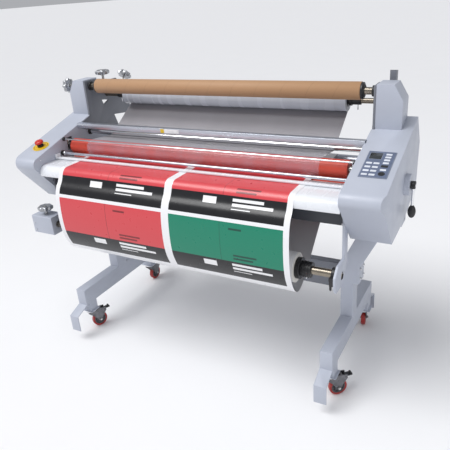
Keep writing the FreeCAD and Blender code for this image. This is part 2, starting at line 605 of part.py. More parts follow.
# film: leaves the rear of the supply roll, passes under the film bar, over the upper roller and into the nip
R_RB = FILM_R + 0.8
cb, cf = B_YZ, FILM_BAR_YZ
dx, dz = cf[0] - cb[0], cf[1] - cb[1]
dist = math.hypot(dx, dz)
base = math.atan2(dz, dx)
phi = math.acos((R_RB - R_FB) / dist)
a_b = math.degrees(base + phi)
film = arc(cb, R_RB, a_b + 60, a_b, 5)
cu = (NIP_Y, UPPER_Z)
dx, dz = cu[0] - cf[0], cu[1] - cf[1]
dist = math.hypot(dx, dz)
base2 = math.atan2(dz, dx)
phi2 = math.acos((R_FB + R_UP) / dist)
a_f1 = math.degrees(base2 + phi2)
film += arc(cf, R_FB, a_b, a_f1, 5)
a_u0 = a_f1 - 180.0
film += arc(cu, R_UP, a_u0, a_u0 + ((270.0 - a_u0) % 360.0), 5)
film += [(NIP_Y + 30, UPPER_Z - R_UP)]
save("film_web", [prism_x(band(film, 0.3), -FILM_HALF, FILM_HALF)])

# ---- casters -------------------------------------------------------------------------------------------------


def place(shape, y, side, deg):
    """Caster's own frame (x = trailing direction, origin on the floor under the swivel) to the machine."""
    s = shape.copy()
    s.rotate(V(0, 0, 0), V(0, 0, 1), deg)
    s.translate(V(side * CASTER_X, y, 0))
    return s


fork_side = [(-24, 108), (-24, 118), (30, 118), (84, 112), (86, 94), (62, 60), (50, 38), (34, 38), (6, 78)]
cheeks = []
for y0 in (14.5, -18.5):
    w = Part.makePolygon([V(x, y0, z) for x, z in fork_side] + [V(fork_side[0][0], y0, fork_side[0][1])])
    cheeks.append(Part.Face(w).extrude(V(0, 4, 0)))
crown_parts = [Part.makeCylinder(30, 12.7, V(0, 0, 117)), box(-24, 30, -18.5, 18.5, 114, 118),
               Part.makeCylinder(6, 16, V(0, 0, 117))]
axle_parts = [cyl((TRAIL, -22, WHEEL_R), (0, 1, 0), 4, 44), cyl((TRAIL, -24, WHEEL_R), (0, 1, 0), 7, 5),
              cyl((TRAIL, 19, WHEEL_R), (0, 1, 0), 7, 5)]
fork = fuse(cheeks + crown_parts + axle_parts)
fork = fork.cut(cyl((76, -30, 101), (0, 1, 0), 3 + FIT, 60))
wheel = cyl((TRAIL, -WHEEL_W / 2, WHEEL_R), (0, 1, 0), WHEEL_R, WHEEL_W)
wheel = wheel.makeFillet(4, [ed for ed in wheel.Edges if abs(ed.Length - 2 * math.pi * WHEEL_R) < 1])
for y0 in (-WHEEL_W / 2 - 1, WHEEL_W / 2 - 4):
    ring = cyl((TRAIL, y0, WHEEL_R), (0, 1, 0), 33, 5).cut(cyl((TRAIL, y0, WHEEL_R), (0, 1, 0), 12, 5))
    wheel = wheel.cut(ring)
wheel = wheel.cut(cyl((TRAIL, -20, WHEEL_R), (0, 1, 0), 4 + FIT, 40))
pedal = fuse([box(68, 112, -13, 13, 99, 103), cyl((76, -18, 101), (0, 1, 0), 3, 36),
              cyl((76, -13, 101), (0, 1, 0), 5.5, 26), box(104, 112, -13, 13, 99, 108)])
for name, (y, side, deg) in CASTERS.items():
    save("fork_" + name, [place(fork, y, side, deg)])
    save("wheel_" + name, [place(wheel, y, side, deg)])
    save("pedal_" + name, [place(pedal, y, side, deg)])

# ---- visible fasteners ---------------------------------------------------------------------------------------


def head(p, dvec, r, h):
    s = Part.makeCylinder(r, h, V(*p), V(*dvec))
    s = s.cut(Part.makeCylinder(r * 0.5, h * 0.6, V(*p) + V(*dvec) * (h * 0.5), V(*dvec)))
    return s


heads = []
for y, z in ((-255, 970), (-233, 970), (-255, 905), (-233, 905)):
    heads.append(head((HANG_0, y, z), (-1, 0, 0), 6, 5))
    heads.append(head((-HANG_0, y, z), (1, 0, 0), 6, 5))
for x, z in ((-925, 700), (-925, 660)):
    heads.append(head((x, -335, z), (0, -1, 0), 4.5, 3))
for y, z in ((-320, 1062), (-230, 1000), (40, 1060), (60, 1130), (200, 1120), (250, 960), (-120, 870)):
    heads.append(head((X_IN, y, z), (-1, 0, 0), 4, 2.5))
    heads.append(head((-X_IN, y, z), (1, 0, 0), 4, 2.5))
for z in (505, 555):
    for y in (POST_Y0 + 16, POST_Y1 - 16):
        heads.append(head((ARM_OUT, y, z), (1, 0, 0), 7, 5))
        heads.append(head((-ARM_OUT, y, z), (-1, 0, 0), 7, 5))
for y, side, deg in CASTERS.values():
    for dx in (-33, 33):
        for dy in (-27, 27):
            heads.append(head((side * CASTER_X + dx, y + dy, 130), (0, 0, -1), 4.5, 3.5))
save("fasteners", heads)
print("whole", WHOLE)
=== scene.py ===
import json
import math

import bmesh
import bpy
from bpy.props import FloatProperty, FloatVectorProperty, IntProperty, PointerProperty
from mathutils import Matrix, Vector

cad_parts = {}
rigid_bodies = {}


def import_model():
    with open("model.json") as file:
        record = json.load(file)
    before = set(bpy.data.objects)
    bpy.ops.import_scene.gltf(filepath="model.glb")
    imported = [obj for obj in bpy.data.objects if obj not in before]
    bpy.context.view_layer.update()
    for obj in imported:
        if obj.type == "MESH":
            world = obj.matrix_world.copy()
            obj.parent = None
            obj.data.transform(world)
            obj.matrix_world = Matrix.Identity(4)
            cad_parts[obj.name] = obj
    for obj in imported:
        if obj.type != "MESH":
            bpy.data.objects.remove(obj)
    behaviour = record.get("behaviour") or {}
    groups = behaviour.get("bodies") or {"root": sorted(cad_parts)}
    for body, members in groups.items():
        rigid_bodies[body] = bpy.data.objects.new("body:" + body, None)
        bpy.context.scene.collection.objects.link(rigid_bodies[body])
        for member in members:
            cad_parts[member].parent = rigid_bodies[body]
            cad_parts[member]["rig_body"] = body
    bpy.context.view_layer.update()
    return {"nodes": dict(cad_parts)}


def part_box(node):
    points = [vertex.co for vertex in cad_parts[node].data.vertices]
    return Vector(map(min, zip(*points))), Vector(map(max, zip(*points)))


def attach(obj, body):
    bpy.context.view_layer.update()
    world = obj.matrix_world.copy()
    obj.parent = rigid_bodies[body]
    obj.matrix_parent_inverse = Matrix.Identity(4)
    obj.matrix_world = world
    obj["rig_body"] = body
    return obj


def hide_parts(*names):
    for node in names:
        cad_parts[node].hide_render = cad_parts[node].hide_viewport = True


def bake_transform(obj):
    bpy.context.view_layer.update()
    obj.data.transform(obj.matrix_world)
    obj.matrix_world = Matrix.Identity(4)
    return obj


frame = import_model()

bl_info = {
    "name": "Cold Roll Laminator",
    "version": (1, 0, 0),
    "blender": (4, 5, 0),
    "location": "3D View > Sidebar > Laminator",
    "description": "Builds the looks of a wide cold roll laminator round its packed frame",
    "category": "Add Mesh",
}

# ---- places and sizes, in millimetres ---------------------------------------------------
# X = 0 lies midway between the side plates and Z = 0 on the floor; OFFSET carries the
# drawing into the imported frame, which is in metres.
MM = 0.001
NIP_Y = -90.0


def middle(node):
    low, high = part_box(node)
    return (low + high) / 2


OFFSET = Vector((
    (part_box("side_plate_left")[0].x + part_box("side_plate_right")[1].x) / 2,
    middle("upper_roller").y - NIP_Y * MM,
    0.0,
))
FRAME_BODY = "frame"
BODY_OF = {name: node["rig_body"] for name, node in frame["nodes"].items()}


def axis_of(node):
    """(y, z) of a node that is round about X, in the drawing's millimetres."""
    spot = (middle(node) - OFFSET) / MM
    return spot.y, spot.z


def reach(node):
    """Lowest and highest corner of a node in the drawing's millimetres."""
    low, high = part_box(node)
    return (low - OFFSET) / MM, (high - OFFSET) / MM


def span(side, near, far):
    """The X range from near to far on one side of the machine."""
    return sorted((side * near, side * far))


UPPER = axis_of("upper_roller")
CORE_AXIS = axis_of("core_a")
FILM_AXIS = axis_of("film_roll")
PRINT_AXIS = axis_of("print_roll")
IDLER_AXIS = axis_of("rear_idler")
ROLLER_R = 40.0
SLEEVE_END, SLEEVE_BORE = 760.0, 27.0
SHAFT_END = 834.0
JOURNAL_R = 15.0
LOWER = (NIP_Y, 998.8)
CORE_R, CORE_BORE = 39.0, 33.0
FILM_R, FILM_BORE = 50.0, 29.0
PRINT_R, PRINT_BORE = 66.0, 40.0
TABLE_Z = 1036.0
NOSE, NOSE_R = (-298.0, 996.0), 40.0
FILM_BAR, FILM_BAR_R = (78.0, 1118.0), 12.0
LEVER = (20.0, 1000.0)
SHEET = 0.6
FREE_STEPS = 16
TRAIL, WHEEL_R = 42.0, 45.0
CASTER_X = 732.0
HANGER_X = 786.0
CASTERS = {
    "front_right": (-245.0, 1, 43.0),
    "front_left": (-245.0, -1, 66.0),
    "rear_right": (352.0, 1, 100.0),
    "rear_left": (352.0, -1, 88.0),
}
ROOF_SLOPE = (1240.9 - 1061.6) / (217.0 + 394.8)
ROOF_HEIGHT = 1061.6 + 394.8 * ROOF_SLOPE
ROOF_TILT = math.atan(ROOF_SLOPE)
X_AXIS, Y_AXIS, Z_AXIS = Vector((1, 0, 0)), Vector((0, 1, 0)), Vector((0, 0, 1))
SLANT = Vector((0, 1, 1)).normalized()
HAND_KNOBS = (
    # piece, foot of the stem, direction, stem radius, stem length, node
    ("liner_brake_knob", (-887, *CORE_AXIS), -X_AXIS, 10, 61, "knob_a"),
    ("film_brake_knob", (-830, 297, 1312), Z_AXIS, 7, 82, "knob_b"),
    ("print_brake_knob", (-872, PRINT_AXIS[0], 718), Z_AXIS, 8, 42, "knob_c"),
    ("bracket_lock_knob", (-805, 417.3, 1324.3), SLANT, 5, 50, "knob_d"),
)
# screws on each side, as (Y, Z): hangers, side plates and the legs' beam plates
HANGER_SCREWS = ((-255, 970), (-233, 970), (-255, 905), (-233, 905))
PLATE_SCREWS = ((-320, 1062), (-230, 1000), (40, 1060), (60, 1130), (200, 1120), (250, 960), (-120, 870))
LEG_SCREWS = ((28, 505), (76, 505), (28, 555), (76, 555))
CLAMP = (PRINT_AXIS[0], 660.0)
ARM_X = 1001.0


# ---- finishes ---------------------------------------------------------------------------
class Finish:
    """One material, built up node by node on the piece's own coordinates."""

    def __init__(self, name, colour, roughness, metallic=0.0, coords="Object"):
        self.material = bpy.data.materials.new(name)
        self.material.use_nodes = True
        self.nodes = self.material.node_tree.nodes
        self.links = self.material.node_tree.links
        self.shader = self.nodes["Principled BSDF"]
        self.colour = tuple(colour)[:3]
        self.set("Base Color", (*self.colour, 1.0))
        self.set("Roughness", roughness)
        self.set("Metallic", metallic)
        self.coords = self.node("ShaderNodeTexCoord").outputs[coords]
        self.normal = None

    def feed(self, socket, value):
        if isinstance(value, bpy.types.NodeSocket):
            self.links.new(value, socket)
        else:
            socket.default_value = value

    def set(self, socket, value):
        self.feed(self.shader.inputs[socket], value)

    def node(self, kind, values=None, **settings):
        made = self.nodes.new(kind)
        for key, value in settings.items():
            setattr(made, key, value)
        for socket, value in (values or {}).items():
            self.feed(made.inputs[socket], value)
        return made

    def noise(self, scale, detail=3.0, stretch=(1.0, 1.0, 1.0)):
        """Grey noise with about scale features in a metre."""
        spot = self.node("ShaderNodeMapping", {"Vector": self.coords, "Scale": stretch})
        values = {"Vector": spot.outputs[0], "Scale": scale, "Detail": detail}
        return self.node("ShaderNodeTexNoise", values).outputs[0]

    def spread(self, value, low, high, start=0.3, stop=0.7):
        values = {"Value": value, "From Min": start, "From Max": stop, "To Min": low, "To Max": high}
        return self.node("ShaderNodeMapRange", values).outputs[0]

    def cloud(self, scale, detail=3.0, stretch=(1.0, 1.0, 1.0)):
        """Noise opened out to a mask from 0 to 1."""
        return self.spread(self.noise(scale, detail, stretch), 0.0, 1.0)

    def coat(self, weight, roughness):
        self.set("Coat Weight", weight)
        self.set("Coat Roughness", roughness)

    def math(self, operation, a, b=0.0, c=0.0):
        return self.node("ShaderNodeMath", {0: a, 1: b, 2: c}, operation=operation).outputs[0]

    def mix(self, factor, a, b):
        return self.node("ShaderNodeMix", {0: factor, 6: a, 7: b}, data_type="RGBA").outputs[2]

    def shade(self, amount):
        """The finish's own colour, darker or lighter by amount."""
        return (*[min(1.0, channel * amount) for channel in self.colour], 1.0)

    def tint(self, factor, dark=0.9, light=1.04):
        self.set("Base Color", self.mix(factor, self.shade(dark), self.shade(light)))

    def bump(self, height, distance, strength=1.0):
        values = {"Height": height, "Distance": distance, "Strength": strength}
        if self.normal is not None:
            values["Normal"] = self.normal
        self.normal = self.node("ShaderNodeBump", values).outputs[0]
        self.set("Normal", self.normal)


def powder_coat(name, colour, roughness=0.42):
    """Baked powder coat: fine orange peel, handling marks and a little settled dust."""
    made = Finish(name, colour, roughness)
    made.tint(made.cloud(5.0, 4.0), 0.94, 1.03)
    smudge = made.noise(13.0, 5.0)
    made.set("Roughness", made.spread(smudge, roughness - 0.07, roughness + 0.1))
    made.bump(made.noise(850.0, 2.0), 0.00018, 0.5)
    made.bump(made.noise(90.0, 2.0), 0.0004, 0.12)
    made.coat(0.12, 0.3)
    return made.material


def white_enamel(name, colour):
    """Smooth stoved enamel, rubbed along the media's path."""
    made = Finish(name, colour, 0.24)
    rub = made.noise(60.0, 4.0, (0.6, 0.08, 0.6))
    made.tint(made.cloud(4.0, 3.0), 0.965, 1.0)
    made.set("Roughness", made.spread(rub, 0.17, 0.34))
    made.bump(made.noise(260.0, 2.0), 0.00012, 0.2)
    made.coat(0.25, 0.12)
    return made.material


def anodised(name, colour):
    """Satin anodised extrusion with die lines along X."""
    made = Finish(name, colour, 0.3, 0.85)
    lines = made.noise(1800.0, 2.0, (0.004, 1.0, 1.0))
    made.tint(made.spread(lines, 0.0, 1.0), 0.93, 1.03)
    made.set("Roughness", made.spread(made.noise(30.0, 3.0, (0.1, 1, 1)), 0.24, 0.38))
    made.bump(lines, 0.00008, 0.35)
    return made.material


def ground_steel(name, colour, roughness=0.24):
    """Shafting ground in a lathe: fine rings about X, with oil-dark patches."""
    made = Finish(name, colour, roughness, 1.0)
    rings = made.noise(1500.0, 2.0, (1.0, 0.01, 0.01))
    made.tint(made.cloud(20.0, 4.0), 0.82, 1.04)
    made.set("Roughness", made.spread(rings, roughness - 0.07, roughness + 0.09))
    made.bump(rings, 0.00005, 0.4)
    return made.material


def chrome_plate(name):
    made = Finish(name, (0.82, 0.83, 0.85), 0.07, 1.0)
    made.set("Roughness", made.spread(made.noise(40.0, 4.0), 0.04, 0.13))
    made.bump(made.noise(120.0, 2.0), 0.0001, 0.06)
    return made.material


def cast_alloy(name, colour):
    """Tumbled zinc casting, brighter where hands polish it."""
    made = Finish(name, colour, 0.36, 0.9)
    made.tint(made.cloud(45.0, 4.0), 0.72, 1.1)
    made.set("Roughness", made.spread(made.noise(90.0, 4.0), 0.22, 0.48))
    made.bump(made.noise(520.0, 3.0), 0.00025, 0.4)
    return made.material


def silicone(name, colour):
    """Ground silicone rubber: satin, slightly dusty, with grinding rings about X."""
    made = Finish(name, colour, 0.36)
    made.tint(made.cloud(9.0, 4.0, (0.4, 1, 1)), 0.86, 1.06)
    made.set("Roughness", made.spread(made.noise(35.0, 4.0), 0.27, 0.46))
    made.bump(made.noise(900.0, 2.0, (1.0, 0.05, 0.05)), 0.00008, 0.3)
    made.set("Subsurface Weight", 0.06)
    made.set("Subsurface Radius", (0.01, 0.003, 0.002))
    made.set("Subsurface Scale", 0.3)
    return made.material


def moulded(name, colour, roughness=0.4, grain=0.3):
    """Injection-moulded plastic with a fine spark-eroded grain."""
    made = Finish(name, colour, roughness)
    made.tint(made.cloud(30.0, 3.0), 0.88, 1.08)
    made.set("Roughness", made.spread(made.noise(60.0, 3.0), roughness - 0.08, roughness + 0.1))
    made.bump(made.noise(1300.0, 2.0), 0.00016, grain)
    return made.material


def black_rubber(name):
    made = Finish(name, (0.022, 0.022, 0.024), 0.62)
    made.tint(made.cloud(40.0, 4.0), 0.7, 1.6)
    made.bump(made.noise(700.0, 3.0), 0.0002, 0.35)
    return made.material


def urethane(name, colour):
    """Cast urethane tyre: glossy, scuffed and dusty where it rolls."""
    made = Finish(name, colour, 0.34)
    scuff = made.noise(70.0, 5.0)
    made.tint(made.spread(scuff, 0.0, 1.0), 0.68, 1.08)
    made.set("Roughness", made.spread(scuff, 0.5, 0.26))
    made.bump(made.noise(300.0, 4.0), 0.0003, 0.3)
    made.coat(0.2, 0.2)
    return made.material


def kraft_board(name, colour):
    """Spiral-wound board: u runs once round the core and v is metres along it."""
    made = Finish(name, colour, 0.6, coords="UV")
    parts = made.node("ShaderNodeSeparateXYZ", {0: made.coords})
    turn = made.math("MULTIPLY_ADD", parts.outputs[1], 1.0 / 0.128, parts.outputs[0])
    across = made.math("FRACT", turn)
    seam = made.math("LESS_THAN", across, 0.012)
    fibre = made.noise(420.0, 5.0, (0.3, 1.0, 1.0))
    cloud = made.noise(16.0, 4.0)
    paper = made.mix(made.spread(fibre, 0.0, 1.0), made.shade(0.84), made.shade(1.06))
    paper = made.mix(made.spread(cloud, 0.0, 0.5), paper, made.shade(0.93))
    made.set("Base Color", made.mix(made.math("MULTIPLY", seam, 0.55), paper, made.shade(0.52)))
    made.bump(fibre, 0.00012, 0.4)
    made.bump(made.math("SUBTRACT", 1.0, seam), 0.0003, 0.6)
    made.set("Sheen Weight", 0.08)
    return made.material


def wound_side(name, colour, dark=0.72):
    """End face of a roll: v crosses the layers."""
    made = Finish(name, colour, 0.5, coords="UV")
    layers = made.noise(1500.0, 3.0, (0.002, 1.0, 1.0))
    made.tint(made.spread(layers, 0.0, 1.0), dark, 1.02)
    made.bump(layers, 0.0003, 0.6)
    return made.material


def wound_face(name, colour, roughness=0.25):
    """Barrel of a roll: the faint hard and soft bands of a wound web."""
    made = Finish(name, colour, roughness, coords="UV")
    bands = made.noise(14.0, 4.0, (0.02, 1.0, 1.0))
    made.tint(made.spread(bands, 0.0, 1.0), 0.93, 1.0)
    made.set("Roughness", made.spread(bands, roughness - 0.06, roughness + 0.08))
    made.bump(made.noise(11.0, 1.0, (0.05, 1.0, 1.0)), 0.0004, 0.1)
    made.coat(0.2, 0.15)
    return made.material


def liner_film(name, colour):
    """Film still on its release liner: even grey, with slight tension lanes down the web."""
    made = Finish(name, colour, 0.3, coords="UV")
    lanes = made.noise(6.0, 2.0, (1.0, 0.25, 1.0))
    made.tint(made.spread(lanes, 0.0, 1.0), 0.94, 1.03)
    made.set("Roughness", made.spread(lanes, 0.42, 0.5))
    made.bump(made.noise(3.0, 1.0, (1.0, 0.3, 1.0)), 0.001, 0.12)
    made.bump(made.noise(700.0, 2.0), 0.00005, 0.2)
    return made.material


def clear_film(name):
    """Bare laminate on the roller: a milky gloss that lets the rubber's colour through."""
    made = Finish(name, (0.72, 0.50, 0.58), 0.16, coords="UV")
    made.set("Alpha", made.spread(made.noise(11.0, 3.0, (1.0, 0.2, 1.0)), 0.10, 0.24))
    made.bump(made.noise(26.0, 3.0, (1.0, 0.15, 1.0)), 0.0008, 0.2)
    made.coat(0.25, 0.05)
    return made.material


def printed_face(name, panels, media):
    """Printed side of the web. UV is in metres, across and along; panels are
    (across 0, across 1, along 0, along 1, colour), later ones over earlier ones."""
    made = Finish(name, media, 0.3, coords="UV")
    parts = made.node("ShaderNodeSeparateXYZ", {0: made.coords})
    across, along = parts.outputs[0], parts.outputs[1]
    ink = (*media, 1.0)
    for a0, a1, b0, b1, colour in panels:
        inside = made.math("COMPARE", across, (a0 + a1) / 2, abs(a1 - a0) / 2)
        level = made.math("COMPARE", along, (b0 + b1) / 2, abs(b1 - b0) / 2)
        ink = made.mix(made.math("MULTIPLY", inside, level), ink, (*colour, 1.0))
    made.set("Base Color", ink)
    made.set("Roughness", made.spread(made.noise(40.0, 3.0), 0.27, 0.33))
    made.bump(made.noise(5.0, 2.0, (1.0, 0.25, 1.0)), 0.0012, 0.14)
    made.coat(0.15, 0.16)
    return made.material


# Back of the printed media, darkened to grey: painted shade for the web's inner side, which hangs in shade
# behind the loop
def media_back(name, colour):
    made = Finish(name, colour, 0.55, coords="UV")
    made.tint(made.cloud(300.0, 4.0), 0.96, 1.0)
    made.bump(made.noise(600.0, 3.0), 0.00008, 0.3)
    return made.material


def display_glass(name):
    made = Finish(name, (0.014, 0.019, 0.022), 0.16)
    made.tint(made.cloud(25.0, 2.0), 0.8, 1.3)
    made.coat(0.7, 0.05)
    return made.material


# ---- mesh building ----------------------------------------------------------------------
def rounded(points, radius, steps=3):
    """An open outline with its inner corners rounded to radius where the runs allow."""
    out = [points[0]]
    for before, corner, after in zip(points, points[1:], points[2:]):
        corner = Vector(corner)
        back, ahead = Vector(before) - corner, Vector(after) - corner
        room = min(radius, back.length * 0.45, ahead.length * 0.45)
        if room < 1e-6:
            out.append(tuple(corner))
            continue
        start, stop = corner + back.normalized() * room, corner + ahead.normalized() * room
        for step in range(steps + 1):
            t = step / steps
            spot = start * (1 - t) ** 2 + corner * 2 * t * (1 - t) + stop * t**2
            out.append(tuple(spot))
    out.append(points[-1])
    return out


def smooth_shading(mesh, degrees=38.0):
    made = bmesh.new()
    made.from_mesh(mesh)
    limit = math.radians(degrees)
    for face in made.faces:
        face.smooth = True
    for edge in made.edges:
        edge.smooth = len(edge.link_faces) == 2 and edge.calc_face_angle(math.pi) < limit
    made.to_mesh(mesh)
    made.free()


def seat(obj, body, nodes=()):
    """Give a finished piece its body and the nodes that it stands for.
    A piece that is blended between two bodies has no body of its own."""
    if body:
        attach(obj, body)
    if nodes:
        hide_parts(*nodes)
    return obj


class Piece:
    """A mesh built up in millimetres in the drawing's frame, then finished in metres."""

    def __init__(self, name, *materials):
        self.name = name
        self.materials = materials
        self.mesh = bmesh.new()
        self.uv = self.mesh.loops.layers.uv.new("UVMap")

    def take(self, part, material=0):
        """Add a closed part with its faces turned outwards."""
        bmesh.ops.recalc_face_normals(part, faces=part.faces)
        for face in part.faces:
            face.material_index += material
        holder = bpy.data.meshes.new("holder")
        part.to_mesh(holder)
        part.free()
        self.mesh.from_mesh(holder)
        bpy.data.meshes.remove(holder)
        self.uv = self.mesh.loops.layers.uv.verify()

    def lathe(self, profile, centre, axis=X_AXIS, material=0, segments=64, paint=None, lobes=0, depth=0.0):
        """Turn a profile of (along, radius) about a line. A radius of 0 closes an end, and a
        profile that ends where it starts makes a ring. Lobes wave the radius round the turn."""
        centre, axis = Vector(centre), Vector(axis).normalized()
        side = Vector((0, 0, 1)) if abs(axis.z) < 0.9 else Vector((1, 0, 0))
        across = (side - axis * side.dot(axis)).normalized()
        over = axis.cross(across)
        part = bmesh.new()
        uv = part.loops.layers.uv.new("UVMap")
        widest = max(radius for _, radius in profile)
        ring_shape = profile[0] == profile[-1]
        rows, length, lengths = [], 0.0, []
        stations = profile[:-1] if ring_shape else profile
        for index, (along, radius) in enumerate(stations):
            if index:
                length += math.dist(stations[index - 1], (along, radius))
            lengths.append(length * MM)
            if radius < 1e-6:
                rows.append([part.verts.new(centre + axis * along)])
                continue
            row = []
            for turn in range(segments):
                angle = 2 * math.pi * turn / segments
                wave = 1 + depth * (math.cos(lobes * angle) - 1) * (radius / widest) ** 3
                out = across * math.cos(angle) + over * math.sin(angle)
                row.append(part.verts.new(centre + axis * along + out * radius * wave))
            rows.append(row)
        pairs = list(zip(range(len(rows) - 1), range(1, len(rows))))
        if ring_shape:
            pairs.append((len(rows) - 1, 0))
        for index, (first, second) in enumerate(pairs):
            low, high = rows[first], rows[second]
            for turn in range(segments):
                after = (turn + 1) % segments
                corners = [low[turn % len(low)], high[turn % len(high)], high[after % len(high)],
                           low[after % len(low)]]
                turns = [turn, turn, turn + 1, turn + 1]
                levels = [lengths[first], lengths[second], lengths[second], lengths[first]]
                kept, spots = [], []
                for corner, spin, level in zip(corners, turns, levels):
                    if corner not in kept:
                        kept.append(corner)
                        spots.append((spin / segments, level))
                face = part.faces.new(kept)
                face.material_index = paint[index] if paint else 0
                for loop, spot in zip(face.loops, spots):
                    loop[uv].uv = spot
        self.take(part, material)

    def disc(self, along0, along1, radius, centre, axis=X_AXIS, material=0, edge=1.0, segments=48):
        """A solid round bar or disc with softened rims."""
        profile = [(along0, 0), (along0, radius), (along1, radius), (along1, 0)]
        self.lathe(rounded(profile, edge), centre, axis, material, segments)

    def ring(self, along0, along1, inner, outer, centre, axis=X_AXIS, material=0, edge=0.8, segments=48):
        """A tube or washer with softened rims."""
        profile = [(along0, (inner + outer) / 2), (along0, outer), (along1, outer), (along1, inner),
                   (along0, inner), (along0, (inner + outer) / 2)]
        self.lathe(rounded(profile, edge), centre, axis, material, segments)

    def block(self, low, high, edge=1.5, material=0, turn=None):
        """A box with rounded edges; turn places it."""
        part = bmesh.new()
        low, high = Vector(low), Vector(high)
        size = high - low
        spot = Matrix.Translation((low + high) / 2) @ Matrix.Diagonal((*size, 1.0))
        bmesh.ops.create_cube(part, size=1.0, matrix=spot)
        if edge:
            bmesh.ops.bevel(part, geom=part.edges[:], offset=min(edge, min(size) * 0.45), segments=3,
                            profile=0.5, affect="EDGES")
        if turn is not None:
            part.transform(turn)
        self.take(part, material)

    def done(self, body, slot=None, nodes=(), degrees=38.0, turn=None):
        if turn is not None:
            self.mesh.transform(turn)
        self.mesh.transform(Matrix.Translation(OFFSET) @ Matrix.Scale(MM, 4))
        mesh = bpy.data.meshes.new(self.name)
        self.mesh.to_mesh(mesh)
        self.mesh.free()
        smooth_shading(mesh, degrees)
        for material in self.materials:
            mesh.materials.append(material)
        obj = bpy.data.objects.new(self.name, mesh)
        bpy.context.scene.collection.objects.link(obj)
        return seat(obj, body, nodes)


def as_plain_mesh(obj, name):
    """The evaluated object as a new plain one; the old one is removed."""
    graph = bpy.context.evaluated_depsgraph_get()
    mesh = bpy.data.meshes.new_from_object(obj.evaluated_get(graph))
    bpy.data.objects.remove(obj)
    mesh.name = name
    made = bpy.data.objects.new(name, mesh)
    bpy.context.scene.collection.objects.link(made)
    return made


def softened(node, name, material, width=1.0):
    """A node's own shape with welded corners and rounded edges, standing for that node."""
    mesh = frame["nodes"][node].data.copy()
    part = bmesh.new()
    part.from_mesh(mesh)
    bmesh.ops.remove_doubles(part, verts=part.verts, dist=3e-6)
    bmesh.ops.dissolve_limit(part, angle_limit=math.radians(0.8), verts=part.verts, edges=part.edges)
    part.to_mesh(mesh)
    part.free()
    mesh.materials.clear()
    mesh.materials.append(material)
    obj = bpy.data.objects.new(name + "_draft", mesh)
    bpy.context.scene.collection.objects.link(obj)
    edges = obj.modifiers.new("edges", "BEVEL")
    edges.width = width * MM
    edges.segments = 3
    edges.limit_method = "ANGLE"
    edges.angle_limit = math.radians(40.0)
    edges.use_clamp_overlap = True
    edges.miter_outer = "MITER_ARC"
    bpy.context.view_layer.update()
    made = as_plain_mesh(obj, name)
    smooth_shading(made.data, 44.0)
    return seat(made, BODY_OF[node], [node])


# ---- Geometry Nodes ---------------------------------------------------------------------
class Tree:
    """A Geometry Nodes tree with named inputs."""

    def __init__(self, name, inputs):
        self.group = bpy.data.node_groups.new(name, "GeometryNodeTree")
        face = self.group.interface
        face.new_socket("Geometry", in_out="INPUT", socket_type="NodeSocketGeometry")
        self.named = {}
        for label, kind, default in inputs:
            socket = face.new_socket(label, in_out="INPUT", socket_type=kind)
            if default is not None:
                socket.default_value = default
            self.named[label] = socket.identifier
        face.new_socket("Geometry", in_out="OUTPUT", socket_type="NodeSocketGeometry")
        self.start = self.group.nodes.new("NodeGroupInput")
        self.end = self.group.nodes.new("NodeGroupOutput")

    def node(self, kind, values=None, **settings):
        made = self.group.nodes.new(kind)
        for key, value in settings.items():
            setattr(made, key, value)
        for socket, value in (values or {}).items():
            if isinstance(value, bpy.types.NodeSocket):
                self.group.links.new(value, made.inputs[socket])
            else:
                made.inputs[socket].default_value = value
        return made

    def finish(self, geometry):
        solid = self.node("GeometryNodeRealizeInstances", {0: geometry})
        painted = self.node("GeometryNodeSetMaterial",
                            {"Geometry": solid.outputs[0], "Material": self.start.outputs["Material"]})
        self.group.links.new(painted.outputs[0], self.end.inputs[0])

    def apply(self, obj, name, **values):
        """Run the tree on an object and return the result as a plain mesh object."""
        modifier = obj.modifiers.new("tree", "NODES")
        modifier.node_group = self.group
        for label, value in values.items():
            modifier[self.named[label.replace("_", " ").title()]] = value
        bpy.context.view_layer.update()
        return as_plain_mesh(obj, name)


def point_cloud(name, rows):
    """Loose vertices with a facing direction and a size each, all in metres."""
    mesh = bpy.data.meshes.new(name)
    mesh.from_pydata([tuple(OFFSET + Vector(spot) * MM) for spot, _, _ in rows], [], [])
    mesh.attributes.new("facing", "FLOAT_VECTOR", "POINT")
    mesh.attributes.new("head_size", "FLOAT", "POINT")
    facing, size = mesh.attributes["facing"], mesh.attributes["head_size"]
    for index, (_, direction, radius) in enumerate(rows):
        facing.data[index].vector = Vector(direction).normalized()
        size.data[index].value = radius * MM
    obj = bpy.data.objects.new(name, mesh)
    bpy.context.scene.collection.objects.link(obj)
    return obj


